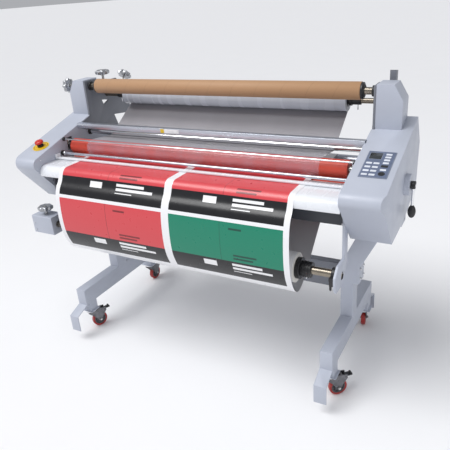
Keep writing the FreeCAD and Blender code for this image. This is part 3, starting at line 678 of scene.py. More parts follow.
def socket_screws():
    """Button head with a hexagon socket, set on every point and turned to its facing."""
    tree = Tree("socket_screws", [("Sides", "NodeSocketInt", 28), ("Socket Share", "NodeSocketFloat", 0.5),
                                  ("Height Share", "NodeSocketFloat", 0.62),
                                  ("Material", "NodeSocketMaterial", None)])
    head = tree.node("GeometryNodeMeshCone", {"Vertices": tree.start.outputs["Sides"], "Radius Top": 0.82,
                                              "Radius Bottom": 1.0,
                                              "Depth": tree.start.outputs["Height Share"]})
    bore = tree.node("GeometryNodeMeshCylinder", {"Vertices": 6, "Depth": 0.9,
                                                  "Radius": tree.start.outputs["Socket Share"]})
    lifted = tree.node("GeometryNodeTransform", {"Geometry": bore.outputs[0], "Translation": (0, 0, 0.7)})
    cut = tree.node("GeometryNodeMeshBoolean", operation="DIFFERENCE")
    tree.group.links.new(head.outputs[0], cut.inputs[0])
    tree.group.links.new(lifted.outputs[0], cut.inputs[1])
    facing = tree.node("GeometryNodeInputNamedAttribute", {"Name": "facing"}, data_type="FLOAT_VECTOR")
    size = tree.node("GeometryNodeInputNamedAttribute", {"Name": "head_size"}, data_type="FLOAT")
    turn = tree.node("FunctionNodeAlignEulerToVector", {"Vector": facing.outputs[0]}, axis="Z")
    placed = tree.node("GeometryNodeInstanceOnPoints",
                       {"Points": tree.start.outputs[0], "Instance": cut.outputs[0],
                        "Rotation": turn.outputs[0], "Scale": size.outputs[0]})
    tree.finish(placed.outputs[0])
    return tree


def key_tree():
    """Rounded key cap on every point of a flat layout, before it is laid on its panel."""
    tree = Tree("key_caps", [("Width", "NodeSocketFloat", 0.022), ("Depth", "NodeSocketFloat", 0.012),
                             ("Corner", "NodeSocketFloat", 0.002), ("Rise", "NodeSocketFloat", 0.001),
                             ("Material", "NodeSocketMaterial", None)])
    shape = tree.node("GeometryNodeCurvePrimitiveQuadrilateral",
                      {"Width": tree.start.outputs["Width"], "Height": tree.start.outputs["Depth"]})
    soft = tree.node("GeometryNodeFilletCurve", {"Curve": shape.outputs[0], "Count": 4,
                                                 "Radius": tree.start.outputs["Corner"]}, mode="POLY")
    flat = tree.node("GeometryNodeFillCurve", {"Curve": soft.outputs[0]}, mode="NGONS")
    cap = tree.node("GeometryNodeExtrudeMesh", {"Mesh": flat.outputs[0],
                                                "Offset Scale": tree.start.outputs["Rise"]})
    under = tree.node("GeometryNodeFlipFaces", {"Mesh": flat.outputs[0]})
    whole = tree.node("GeometryNodeJoinGeometry")
    tree.group.links.new(cap.outputs[0], whole.inputs[0])
    tree.group.links.new(under.outputs[0], whole.inputs[0])
    closed = tree.node("GeometryNodeMergeByDistance", {"Geometry": whole.outputs[0], "Distance": 1e-5})
    placed = tree.node("GeometryNodeInstanceOnPoints", {"Points": tree.start.outputs[0],
                                                        "Instance": closed.outputs[0]})
    tree.finish(placed.outputs[0])
    return tree


# ---- what a user would change -----------------------------------------------------------
def colour_of(label, default):
    return FloatVectorProperty(name=label, description=f"Base colour of the {label.lower()}",
                               subtype="COLOR", size=3, min=0.0, max=1.0, default=default)


class LaminatorFinishes(bpy.types.PropertyGroup):
    covers: colour_of("Covers", (0.47, 0.50, 0.58))
    plates: colour_of("Inner plates", (0.17, 0.18, 0.21))
    beams: colour_of("Beams", (0.055, 0.06, 0.075))
    table: colour_of("Feed table", (0.83, 0.85, 0.89))
    rollers: colour_of("Nip rollers", (0.61, 0.068, 0.040))
    core: colour_of("Card core", (0.46, 0.262, 0.135))
    panel: colour_of("Control panel", (0.12, 0.15, 0.235))
    tyres: colour_of("Caster tyres", (0.42, 0.022, 0.018))
    print_red: colour_of("Printed red", (0.66, 0.062, 0.075))
    print_green: colour_of("Printed green", (0.0, 0.215, 0.125))


class LaminatorSizes(bpy.types.PropertyGroup):
    edge: FloatProperty(name="Sheet edge", description="Rounding of sheet metal edges in millimetres",
                        default=1.2, min=0.2, max=3.0)
    knob_lobes: IntProperty(name="Knob lobes", description="Lobes round each cast knob",
                            default=8, min=5, max=12)
    roll_sides: IntProperty(name="Roll facets", description="Facets round each roll and roller",
                            default=96, min=32, max=192)


PAINTS = {}


def paint(name, make, *values):
    """A finish made once and shared by the pieces that have it."""
    if name not in PAINTS:
        PAINTS[name] = make(name, *values)
    return PAINTS[name]


def looks():
    return bpy.context.scene.laminator_finishes


def sizes():
    return bpy.context.scene.laminator_sizes


def cover_paint():
    return paint("cover_powder_coat", powder_coat, looks().covers)


def plate_paint():
    return paint("plate_powder_coat", powder_coat, looks().plates, 0.46)


def rail_finish():
    return paint("rail_anodising", anodised, (0.62, 0.65, 0.72))


def steel():
    return paint("ground_shafting", ground_steel, (0.50, 0.49, 0.47))


def black():
    return paint("black_moulding", moulded, (0.018, 0.018, 0.02), 0.38)


def chrome():
    return paint("bright_chrome", chrome_plate)


# ---- operators --------------------------------------------------------------------------
class LAMINATOR_OT_covers(bpy.types.Operator):
    """End covers, tower covers, side plates and rear brackets"""

    bl_idname = "laminator.covers"
    bl_label = "Covers and plates"

    def execute(self, context):
        edge = sizes().edge
        for side in ("left", "right"):
            softened("cover_" + side, "end_cover_" + side, cover_paint(), edge * 1.3)
            softened("tower_cover_" + side, "tower_shell_" + side, cover_paint(), edge)
            softened("side_plate_" + side, "inner_plate_" + side, plate_paint(), 0.9)
        softened("rear_brackets", "film_brackets", plate_paint(), 1.2)
        return {"FINISHED"}


class LAMINATOR_OT_stand(bpy.types.Operator):
    """Legs, beams, hangers and the brake box"""

    bl_idname = "laminator.stand"
    bl_label = "Stand"

    def execute(self, context):
        for side in ("left", "right"):
            softened("leg_" + side, "stand_leg_" + side, cover_paint(), 2.4)
        softened("cross_beam", "stand_beam", plate_paint(), 2.0)
        hanger = softened("hanger_right", "roll_hanger_right", cover_paint(), 1.2)
        hanger.data.materials.append(black())
        for face in hanger.data.polygons:
            if face.center.x < OFFSET.x + HANGER_X * MM:
                face.material_index = 1
        saddle = Piece("shaft_saddle_right", black())
        saddle.ring(756, HANGER_X, 18.6, 30, (0, *PRINT_AXIS), edge=1.5)
        saddle.done(FRAME_BODY, "black_plastic")
        dark = paint("beam_paint", powder_coat, looks().beams, 0.5)
        for node, name, finish, width, slot in (
            ("hanger_left", "roll_hanger_left", plate_paint(), 1.2, "plate_paint"),
            ("brake_box_c", "brake_housing", cover_paint(), 1.6, "cover_paint"),
            ("table_beams", "under_table_beams", dark, 1.2, "black_paint"),
        ):
            softened(node, name, finish, width)
        return {"FINISHED"}


class LAMINATOR_OT_table(bpy.types.Operator):
    """Feed table, hold-down bar, top rail and guide bars"""

    bl_idname = "laminator.table"
    bl_label = "Table and bars"

    def execute(self, context):
        white = paint("table_enamel", white_enamel, looks().table)
        rail = rail_finish()
        softened("feed_table", "media_table", white, 0.8)
        softened("hold_down_bar", "hold_down_strip", white, 1.0)
        softened("top_rail", "upper_rail", rail, 1.4)
        low, high = reach("guide_bars")
        bars = Piece("guide_rods", chrome(), rail, black())
        for (y, z), radius, finish in (((-160.0, 1058.0), 7.0, 1), ((-134.0, 1127.0), 4.0, 0),
                                       (FILM_BAR, FILM_BAR_R, 0)):
            bars.disc(low.x, high.x, radius, (0, y, z), material=finish, edge=0.6)
            for side in (-1, 1):
                inner, outer = span(side, high.x - 9.0, high.x - 0.5)
                bars.ring(inner, outer, radius - 0.2, radius + 6.0, (0, y, z), material=2, edge=1.2)
        for side in (-1, 1):
            knob_axis = Vector((side, 0, 0))
            spot = (side * 768.0, -160.0, 1058.0)
            ball = [(0.0, 0.0)] + [(10 - 10 * math.cos(a), 10 * math.sin(a))
                                   for a in [math.pi * k / 14 for k in range(1, 14)]] + [(20.0, 0.0)]
            bars.lathe(ball, spot, knob_axis, 0, 32)
        bars.done(FRAME_BODY, "polished_steel", ["guide_bars"])
        label = Piece("blank_label", paint("label_face", moulded, (0.86, 0.87, 0.88), 0.3, 0.1),
                      paint("label_band", moulded, (0.80, 0.55, 0.03), 0.3, 0.1))
        label.block((-235, -14.5, 1161), (-125, -14.0, 1181), 0.1)
        label.block((-235, -14.7, 1161), (-213, -14.3, 1181), 0.1, 1)
        label.done(FRAME_BODY)
        return {"FINISHED"}


class LAMINATOR_OT_rollers(bpy.types.Operator):
    """Nip rollers, rear idler, bearing blocks and carriers"""

    bl_idname = "laminator.rollers"
    bl_label = "Nip rollers"

    def execute(self, context):
        rubber = paint("roller_silicone", silicone, looks().rollers)
        sides = sizes().roll_sides
        for name, node, (y, z) in (("upper_roller_sleeve", "upper_roller", UPPER),
                                   ("lower_roller_sleeve", "lower_roller", LOWER)):
            piece = Piece(name, rubber, steel(), black())
            sleeve = [(-SLEEVE_END, SLEEVE_BORE), (-SLEEVE_END, ROLLER_R), (SLEEVE_END, ROLLER_R),
                      (SLEEVE_END, JOURNAL_R), (-SLEEVE_END, JOURNAL_R), (-SLEEVE_END, SLEEVE_BORE)]
            piece.lathe(rounded(sleeve, 1.6), (0, y, z), segments=sides)
            if node == "lower_roller":
                piece.disc(-SHAFT_END, 888, JOURNAL_R - 0.02, (0, y, z), material=1)
                piece.disc(861, 883, 30, (0, y, z), material=1)
                for start in (859, 883):
                    piece.disc(start, start + 2, 35, (0, y, z), material=1, edge=0.6)
            piece.done(BODY_OF[node], "roller_silicone", [node])
        shaft = Piece("upper_roller_shaft", steel())
        shaft.disc(-SHAFT_END, SHAFT_END, JOURNAL_R - 0.02, (0, *UPPER), edge=1.2)
        shaft.done(BODY_OF["upper_shaft"], "ground_steel", ["upper_shaft"])
        idler = Piece("rear_idler_roller", rail_finish(), steel())
        idler.disc(-780, 780, 25, (0, *IDLER_AXIS), edge=1.5, segments=64)
        idler.disc(-806, 806, 7.98, (0, *IDLER_AXIS), material=1)
        idler.done(BODY_OF["rear_idler"], "ground_steel", ["rear_idler"])
        softened("bearing_blocks", "lower_bearing_blocks", steel(), 1.0)
        softened("roller_carriers", "upper_roller_carriers", steel(), 1.0)
        return {"FINISHED"}


def chuck(piece, start, sign, inner, outer, leaves, centre, black_slot, steel_slot):
    """Expanding core chuck: flange, tapered body and a ring of leaves inside the core."""
    y, z = centre
    axis = Vector((sign, 0, 0))
    spot = (sign * start, y, z)
    flange = [(0, 0), (0, outer), (inner[0], outer), (inner[0], outer * 0.8), (inner[1], outer * 0.72),
              (inner[1], 0)]
    piece.lathe(rounded(flange, 1.6), spot, axis, black_slot, 56)
    for leaf in range(leaves):
        angle = 2 * math.pi * leaf / leaves
        to_axis = Matrix.Translation((0, y, z))
        turn = to_axis @ Matrix.Rotation(angle, 4, "X") @ to_axis.inverted()
        x0, x1 = span(sign, start + inner[1] - 16, start + inner[1] - 3)
        piece.block((x0, y - 3, z + outer * 0.70), (x1, y + 3, z + outer * 0.76), 0.8, steel_slot, turn)


class LAMINATOR_OT_shafts(bpy.types.Operator):
    """The three roll shafts with their chucks and collars"""

    bl_idname = "laminator.shafts"
    bl_label = "Roll shafts"

    def execute(self, context):
        # roll shafts in a darker, brownish steel: painted shade, standing in for the shadow the shafts lie in
        shaded_shaft_steel = paint("oiled_shafting", ground_steel, (0.33, 0.29, 0.235), 0.28)
        top = Piece("liner_shaft_rod", shaded_shaft_steel, black(), chrome())
        top.disc(-886, 886, 16, (0, *CORE_AXIS), edge=1.5, segments=56)
        for sign in (-1, 1):
            chuck(top, 739, sign, (9, 14), 37, 6, CORE_AXIS, 1, 2)
            inner, outer = span(sign, 690, 739.5)
            top.disc(inner, outer, 32.6, (0, *CORE_AXIS), material=1, edge=2)
            inner, outer = span(sign, 786, 796)
            top.disc(inner, outer, 24, (0, *CORE_AXIS), material=1, edge=1.5)
        top.done(BODY_OF["shaft_a"], "ground_steel", ["shaft_a"])
        film = Piece("film_shaft_rod", shaded_shaft_steel, black(), chrome())
        film.disc(-842, 840, 12.5, (0, *FILM_AXIS), edge=1.2, segments=48)
        for sign in (-1, 1):
            inner, outer = span(sign, 596, 645.5)
            film.disc(inner, outer, 28.6, (0, *FILM_AXIS), material=1, edge=1.5)
            inner, outer = span(sign, 645, 706)
            film.disc(inner, outer, 19, (0, *FILM_AXIS), material=1, edge=3)
            inner, outer = span(sign, 652, 664)
            film.ring(inner, outer, 18.0, 24.0, (0, *FILM_AXIS), material=1, edge=1.5)
            film.disc(0, 26, 2.6, (sign * 690, FILM_AXIS[0], FILM_AXIS[1] - 16), -Z_AXIS, 2, 0.8, 20)
        film.done(BODY_OF["shaft_b"], "ground_steel", ["shaft_b"])
        lower = Piece("print_shaft_rod", shaded_shaft_steel, black(), chrome())
        lower.disc(-874, 794, 17.98, (0, *PRINT_AXIS), edge=1.5, segments=56)
        for x0, x1, radius, finish in ((601, 622, 47, 1), (622, 668, 34, 1), (-676, -655, 47, 1),
                                       (-722, -676, 34, 1), (560, 601.5, 39.6, 1),
                                       (-655.5, -614, 39.6, 1)):
            lower.disc(x0, x1, radius, (0, *PRINT_AXIS), material=finish, edge=2.4, segments=56)
        for groove in (632, 644, 656):
            lower.ring(groove, groove + 3, 33.0, 36.0, (0, *PRINT_AXIS), material=1, edge=1.0)
        lower.disc(0, 13, 3.0, (640, PRINT_AXIS[0], PRINT_AXIS[1] - 33), -Z_AXIS, 2, 0.8, 20)
        lower.done(BODY_OF["shaft_c"], "ground_steel", ["shaft_c"])
        return {"FINISHED"}


def roll(name, x0, x1, inner, outer, centre, face, side, node, slot):
    """A wound roll: smooth barrel, layered ends and a clean bore."""
    soft = 1.0
    profile = [(x0, inner), (x0, outer - soft), (x0 + soft, outer), (x1 - soft, outer), (x1, outer - soft),
               (x1, inner), (x0, inner)]
    piece = Piece(name, face, side)
    piece.lathe(profile, (0, *centre), segments=sizes().roll_sides, paint=[1, 1, 0, 1, 1, 1])
    return piece.done(BODY_OF[node], slot, [node], degrees=50)


class LAMINATOR_OT_rolls(bpy.types.Operator):
    """Card core, film roll and print roll"""

    bl_idname = "laminator.rolls"
    bl_label = "Rolls"

    def execute(self, context):
        kraft = paint("kraft_board", kraft_board, looks().core)
        kraft_end = paint("kraft_layers", wound_side, looks().core, 0.6)
        roll("card_core", -739, 739, CORE_BORE, CORE_R, CORE_AXIS, kraft, kraft_end, "core_a", "core_card")
        film_face = paint("wound_film", wound_face, (0.74, 0.77, 0.85))
        film_side = paint("film_layers", wound_side, (0.66, 0.68, 0.72))
        roll("film_supply_roll", -645, 645, FILM_BORE, FILM_R, FILM_AXIS, film_face, film_side, "film_roll",
             "film_wound")
        white = paint("wound_media", wound_face, (0.84, 0.84, 0.85), 0.4)
        layers = paint("media_layers", wound_side, (0.78, 0.76, 0.71))
        roll("print_media_roll", -655, 601, PRINT_BORE, PRINT_R, PRINT_AXIS, white, layers, "print_roll",
             "media_white")
        return {"FINISHED"}


def turn_points(centre, radius, start, stop, step=4.0):
    """Points round an arc, from start to stop degrees."""
    count = max(2, int(abs(stop - start) / step) + 1)
    out = []
    for k in range(count + 1):
        angle = math.radians(start + (stop - start) * k / count)
        out.append((centre[0] + radius * math.cos(angle), centre[1] + radius * math.sin(angle)))
    return out


def eased(points, steps):
    """Catmull-Rom points through an open list, both ends kept."""
    ends = [points[0]] + list(points) + [points[-1]]
    out = []
    for p0, p1, p2, p3 in zip(ends, ends[1:], ends[2:], ends[3:]):
        for k in range(steps):
            t = k / steps
            out.append(tuple(0.5 * (2 * b + (c - a) * t + (2 * a - 5 * b + 4 * c - d) * t * t
                                    + (3 * b - a - 3 * c + d) * t**3)
                             for a, b, c, d in zip(p0, p1, p2, p3)))
    out.append(points[-1])
    return out


def print_route():
    """Closed path of the printed web: nip, table, free fall, under the roll, rear idler, nip."""
    line = [(NIP_Y, 1039.5), (-115.0, 1038.4), (-150.0, TABLE_Z + 0.7), (-190.0, TABLE_Z + 0.7)]
    line += [(-245.0, TABLE_Z + 0.7)]
    line += turn_points(NOSE, NOSE_R + 0.7, 90, 160)
    fall = [line[-1], (-352, 976), (-374, 946), (-389, 905), (-396, 850), (-398, 780), (-392, 712),
            (-374, 655), (-346, 608), (-306, 580), (-262, 586), (-215, 617), (-149, 672), (-26, 780)]
    line += eased(fall, 6)[1:]
    radius = 25.7
    dy, dz = IDLER_AXIS[0] + 26.0, IDLER_AXIS[1] - 780.0
    lean = math.atan2(dz, dy) - math.asin(radius / math.hypot(dy, dz))
    line += turn_points(IDLER_AXIS, radius, math.degrees(lean) - 90.0, 90)
    line += [(200.0, 1039.6), (100.0, 1039.6), (0.0, 1039.5), (-60.0, 1039.5)]
    return line


def film_route():
    """Open path of the film: off the supply roll, under the film bar, round the upper roller."""
    supply, bar_r, roller_r = FILM_R + 0.8, FILM_BAR_R + 0.7, ROLLER_R + 0.6
    dy, dz = FILM_BAR[0] - FILM_AXIS[0], FILM_BAR[1] - FILM_AXIS[1]
    leave = math.degrees(math.atan2(dz, dy) + math.acos((supply - bar_r) / math.hypot(dy, dz)))
    line = turn_points(FILM_AXIS, supply, leave + 60, leave)
    dy, dz = UPPER[0] - FILM_BAR[0], UPPER[1] - FILM_BAR[1]
    cross = math.degrees(math.atan2(dz, dy) + math.acos((bar_r + roller_r) / math.hypot(dy, dz)))
    line += turn_points(FILM_BAR, bar_r, leave, cross)
    land = cross - 180.0
    wrap = turn_points(UPPER, roller_r, land, land + (270.0 - land) % 360.0)
    leaving, landing = line[-1], wrap[0]
    for k in range(1, FREE_STEPS):
        line.append(tuple(a + (b - a) * k / FREE_STEPS for a, b in zip(leaving, landing)))
    on_roller = len(line)
    line += wrap
    line.append((NIP_Y + 30, UPPER[1] - roller_r))
    return line, on_roller


def run_lengths(line, closed):
    """Distance along a route at each of its points, in metres, and its whole length."""
    total, marks = 0.0, [0.0]
    for a, b in zip(line, line[1:]):
        total += math.dist(a, b) * MM
        marks.append(total)
    if closed:
        total += math.dist(line[-1], line[0]) * MM
    return marks, total


def web_piece(name, line, x0, x1, closed, materials, outer, inner, strips=24):
    """A thin closed sheet along a route, with UV in metres across and along."""
    count = len(line)
    marks, total = run_lengths(line, closed)
    sides = ([], [])
    for index, (y, z) in enumerate(line):
        before = line[index - 1] if closed or index else line[0]
        after = line[(index + 1) % count] if closed or index < count - 1 else line[-1]
        run = math.dist(before, after)
        ny, nz = -(after[1] - before[1]) / run, (after[0] - before[0]) / run
        sides[0].append((y - ny * SHEET / 2, z - nz * SHEET / 2))
        sides[1].append((y + ny * SHEET / 2, z + nz * SHEET / 2))
    piece = Piece(name, *materials)
    part = bmesh.new()
    uv = part.loops.layers.uv.new("UVMap")
    xs = [x0 + (x1 - x0) * k / strips for k in range(strips + 1)]
    grid = [[[part.verts.new((x, y, z)) for x in xs] for y, z in side] for side in sides]
    spans = count if closed else count - 1

    def quad(corners, spots, material):
        face = part.faces.new(corners)
        face.material_index = material
        for loop, spot in zip(face.loops, spots):
            loop[uv].uv = spot

    for span in range(spans):
        after = (span + 1) % count
        v0, v1 = marks[span], marks[after] if after else total
        for side, chooser in ((0, outer), (1, inner)):
            rows = grid[side]
            for k in range(strips):
                u0, u1 = xs[k] * MM, xs[k + 1] * MM
                quad([rows[span][k], rows[span][k + 1], rows[after][k + 1], rows[after][k]],
                     [(u0, v0), (u1, v0), (u1, v1), (u0, v1)], chooser(span))
        for k in (0, strips):
            u = xs[k] * MM
            quad([grid[0][span][k], grid[1][span][k], grid[1][after][k], grid[0][after][k]],
                 [(u, v0), (u, v0), (u, v1), (u, v1)], inner(span))
    if not closed:
        for end in (0, count - 1):
            for k in range(strips):
                u0, u1 = xs[k] * MM, xs[k + 1] * MM
                quad([grid[0][end][k], grid[0][end][k + 1], grid[1][end][k + 1], grid[1][end][k]],
                     [(u0, marks[end]), (u1, marks[end]), (u1, marks[end]), (u0, marks[end])], inner(0))
    piece.take(part)
    return piece, total


def height_on_fall(line, z):
    """How far along the print route its front stretch reaches a height, in metres."""
    marks, _ = run_lengths(line, True)
    for (y0, z0), (_, z1), start, stop in zip(line, line[1:], marks, marks[1:]):
        if y0 < -290 and z1 <= z <= z0:
            return start + (stop - start) * (z0 - z) / max(z0 - z1, 1e-9)
    raise ValueError(f"the printed web never hangs at {z} mm")


def artwork(line):
    """Two columns of plain colour panels and bars in place of the printed sheets."""
    red, green = tuple(looks().print_red), tuple(looks().print_green)
    ink, white, deep = (0.006, 0.006, 0.008), (0.86, 0.86, 0.87), (0.20, 0.015, 0.02)
    margin, gutter = 0.026, 0.020
    left, right, split = -0.662, 0.608, 0.006
    columns = ((left + margin, split - gutter, red), (split + gutter, right - margin, green))
    start = 0.03
    band0, band1 = height_on_fall(line, 1006), height_on_fall(line, 921)
    lower0, lower1 = height_on_fall(line, 905), height_on_fall(line, 722)
    foot = height_on_fall(line, 632)
    panels = []
    for a0, a1, lower in columns:
        width = a1 - a0
        panels.append((a0, a1, start, band0, red))
        panels.append((a0, a1, band0, band1, ink))
        panels.append((a0, a1, lower0, lower1, lower))
        panels.append((a0, a1, lower1, foot, ink))
        shade = deep if lower is red else (0.0, 0.06, 0.04)
        for top, bottom, dark in ((start, band0, deep), (lower0, lower1, shade)):
            panels.append((a0 + width * 0.47, a0 + width * 0.473, top, bottom, dark))
            for row, share in enumerate((0.17, 0.2)):
                level = bottom - 0.017 - row * 0.016
                panels.append((a0 + width * 0.58, a0 + width * (0.58 + share), level - 0.0045, level + 0.0045,
                               dark))
        panels.append((a0 + width * 0.55, a0 + width * 0.66, lower0 + 0.024, lower0 + 0.033, shade))
        for top in (band0, lower1):
            panels.append((a0 + width * 0.30, a0 + width * 0.42, top + 0.012, top + 0.042, white))
            for row, share in enumerate((0.26, 0.34)):
                level = top + 0.017 + row * 0.021
                panels.append((a0 + width * 0.56, a0 + width * (0.56 + share), level - 0.0065, level + 0.0065,
                               white))
            panels.append((a0 + width * 0.56, a0 + width * 0.72, top + 0.055, top + 0.059, white))
    return panels


class LAMINATOR_OT_webs(bpy.types.Operator):
    """Printed web and film web"""

    bl_idname = "laminator.webs"
    bl_label = "Webs"

    def execute(self, context):
        line = print_route()
        printed = printed_face("printed_media", artwork(line), (0.86, 0.86, 0.88))
        # the web's inner side gets a grey back: painted shade, not the media's own colour
        back = paint("media_back", media_back, (0.60, 0.60, 0.62))
        low, high = reach("print_web")
        piece, length = web_piece("printed_web", line, low.x, high.x, True, (printed, back),
                                  lambda span: 0, lambda span: 1)
        web = piece.done(FRAME_BODY, "print_media", ["print_web"], degrees=60)
        route, on_roller = film_route()
        liner = paint("film_on_liner", liner_film, (0.34, 0.33, 0.355))
        bare = paint("bare_laminate", clear_film)
        low, high = reach("film_web")
        piece, length = web_piece("laminate_film", route, low.x, high.x, False, (liner, bare),
                                  lambda span: int(span >= on_roller), lambda span: int(span >= on_roller))
        mesh = piece.done(None, "film", ["film_web"], degrees=60)
        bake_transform(mesh)
        return {"FINISHED"}


def cast_knob(name, spot, direction, stem_r, stem_l, node):
    """Lobed cast hand knob: stem, boss, scalloped head with a dished crown and a centre plug."""
    base, top = stem_l + 8, stem_l + 30
    head = [(stem_l, 0), (stem_l, 15), (base - 4, 19), (base - 3, 34), (base, 40), (base + 7, 42),
            (base + 16, 42), (top - 4, 39), (top, 33), (top - 0.8, 24), (top - 3.5, 14), (top - 3.5, 0)]
    piece = Piece(name, paint("cast_knob_alloy", cast_alloy, (0.47, 0.48, 0.50)), steel())
    piece.lathe(rounded(head, 2.6, 4), spot, direction, 0, 128, lobes=sizes().knob_lobes, depth=0.105)
    piece.disc(0, stem_l + 1, stem_r - 0.02, spot, direction, 1, 0.8, 40)
    piece.disc(top - 4, top - 0.6, 8, spot, direction, 1, 1.0, 32)
    return piece.done(BODY_OF[node], "knob_alloy", [node])


class LAMINATOR_OT_knobs(bpy.types.Operator):
    """Four cast hand knobs and the shaft clamp lever"""

    bl_idname = "laminator.knobs"
    bl_label = "Hand knobs"

    def execute(self, context):
        for knob in HAND_KNOBS:
            cast_knob(*knob)
        clamp = Piece("shaft_clamp_lever", black(), steel())
        clamp.disc(741, 752.6, 11, (0, *CLAMP), edge=1.6)
        clamp.disc(752, 768, 3.98, (0, *CLAMP), material=1)
        handle = [(0, 0), (0, 4.2), (18, 4.6), (36, 5.5), (48, 5.6), (54, 3.6), (54, 0)]
        clamp.lathe(rounded(handle, 2.0, 4), (747, *CLAMP), -Z_AXIS, 0, 40)
        clamp.done(BODY_OF["clamp_lever"], "black_plastic", ["clamp_lever"])
        return {"FINISHED"}


class LAMINATOR_OT_lever(bpy.types.Operator):
    """Pressure lever with its cross shaft, cams and egg grip"""

    bl_idname = "laminator.lever"
    bl_label = "Pressure lever"

    def execute(self, context):
        y, z = LEVER
        lever = Piece("pressure_lever_arm", chrome(), steel(), black())
        lever.disc(-852, 992, 9.98, (0, y, z), material=1)
        for x0, x1 in ((836, 850), (-850, -836)):
            lever.disc(x0, x1, 20, (0, y, z - 12.5), material=1, edge=1.0)
        lever.disc(990.3, 1010, 17, (0, y, z), material=2, edge=2.5)
        lever.disc(1009, 1012, 9, (0, y, z), material=0, edge=1.0, segments=6)
        lever.disc(14, 94, 6, (ARM_X, y, z), -Z_AXIS, 0, 1.0, 32)
        lever.ring(15, 23, 5.8, 9, (ARM_X, y, z), -Z_AXIS, 0, 1.2, 32)
        lever.done(BODY_OF["pressure_lever"], "ground_steel", ["pressure_lever"])
        grip = Piece("lever_egg_grip", black())
        egg = [(91, 0), (91, 7.0)]
        egg += [(120 - 29 * math.cos(a), 17 * math.sin(a)) for a in [0.47 + 2.55 * k / 16 for k in range(17)]]
        egg.append((149, 0))
        grip.lathe(egg, (ARM_X, y, z), -Z_AXIS, 0, 56)
        grip.done(BODY_OF["lever_grip"], "black_plastic", ["lever_grip"])
        return {"FINISHED"}


def on_roof(x, y):
    """Turns a shape drawn face up round the origin onto the covers' sloped roof."""
    spot = Matrix.Translation((x, y, ROOF_HEIGHT + ROOF_SLOPE * y))
    return spot @ Matrix.Rotation(ROOF_TILT, 4, "X")


class LAMINATOR_OT_controls(bpy.types.Operator):
    """Control panel, emergency stop, power inlet and rocker"""

    bl_idname = "laminator.controls"
    bl_label = "Controls"

    def execute(self, context):
        self.emergency_stop()
        self.control_panel()
        softened("power_inlet", "inlet_box", cover_paint(), 0.8)
        softened("rocker", "inlet_rocker", black(), 0.8)
        return {"FINISHED"}

    def emergency_stop(self):
        """Round yellow plate, black collar and a red mushroom with turned rings."""
        place = on_roof(-865.0, -235.0)
        yellow = paint("legend_yellow", moulded, (0.80, 0.52, 0.012), 0.3, 0.15)
        red = paint("stop_red", moulded, (0.58, 0.022, 0.012), 0.24, 0.1)
        base = Piece("stop_legend_plate", yellow, black())
        base.ring(0, 3, 10, 44, (0, 0, 0), Z_AXIS, 0, 1.0, 72)
        base.ring(2.2, 13, 9.4, 17, (0, 0, 0), Z_AXIS, 1, 1.4, 48)
        base.ring(2.6, 3.4, 36, 38, (0, 0, 0), Z_AXIS, 1, 0.2, 72)
        base.done(BODY_OF["estop_base"], "yellow_plastic", ["estop_base"], turn=place)
        button = Piece("stop_mushroom", red, black())
        head = [(21, 0), (21, 20), (22.5, 23), (28, 23), (31.5, 22), (34.5, 18), (35.6, 13), (35.0, 11),
                (35.8, 9), (36.6, 4), (36.8, 0)]
        button.lathe(rounded(head, 1.4, 4), (0, 0, 0), Z_AXIS, 0, 72)
        button.disc(9, 22, 8.9, (0, 0, 0), Z_AXIS, 1, 0.8, 40)
        button.done(BODY_OF["estop_button"], "red_plastic", ["estop_button"], turn=place)

    def control_panel(self):
        """Membrane panel with a display window, key caps and a round key."""
        place = on_roof(889.0, -152.5)
        overlay = paint("panel_overlay", moulded, looks().panel, 0.42, 0.2)
        rim = paint("panel_rim", moulded, (0.20, 0.23, 0.31), 0.4, 0.2)
        key = paint("key_cap", moulded, (0.70, 0.73, 0.80), 0.36, 0.15)
        glass = paint("display_window", display_glass)
        panel = Piece("membrane_panel", overlay, rim, glass, black())
        panel.block((-55, -91, 0), (55, 91, 2.6), 0.8, 1)
        panel.block((-52, -88, 1.6), (52, 88, 3.0), 0.4, 0)
        panel.block((-47, 31, 2.7), (7, 81, 3.3), 0.4, 1)
        panel.block((-44, 34, 2.9), (4, 78, 3.5), 0.3, 2)
        panel.ring(2.8, 3.8, 9, 13, (29, -64, 0), Z_AXIS, 3, 0.4, 40)
        panel.disc(2.6, 3.9, 8.4, (29, -64, 0), Z_AXIS, 3, 0.4, 36)
        panel.block((16, -20, 2.8), (42, -5, 3.6), 0.5, 3)
        panel.done(BODY_OF["control_panel"], "panel_plastic", ["control_panel"], turn=place)
        spots = [(-35 + 29 * column, -74 + 26 * row) for row in range(4) for column in range(2)]
        spots += [(29, y) for y in (-38, 9, 30, 50, 70)]
        layout = bpy.data.meshes.new("key_layout")
        layout.from_pydata([(x * MM, y * MM, 2.8 * MM) for x, y in sorted(set(spots))], [], [])
        points = bpy.data.objects.new("key_layout", layout)
        bpy.context.scene.collection.objects.link(points)
        keys = key_tree().apply(points, "panel_keys", width=0.023, depth=0.0115, corner=0.0022, rise=0.0011,
                                material=key)
        carry = Matrix.Scale(1 / MM, 4)
        keys.data.transform(Matrix.Translation(OFFSET) @ Matrix.Scale(MM, 4) @ place @ carry)
        smooth_shading(keys.data, 40.0)
        seat(keys, BODY_OF["control_panel"])


class LAMINATOR_OT_drive(bpy.types.Operator):
    """Gear motor, its pulley and the drive belt inside the right cover"""

    bl_idname = "laminator.drive"
    bl_label = "Drive"

    def execute(self, context):
        dark = paint("motor_paint", powder_coat, (0.05, 0.055, 0.065), 0.5)
        softened("gearmotor", "gear_motor_body", dark, 1.0)
        softened("motor_pulley", "motor_belt_pulley", steel(), 0.6)
        softened("drive_belt", "drive_belt_loop", paint("belt_rubber", black_rubber), 0.4)
        return {"FINISHED"}


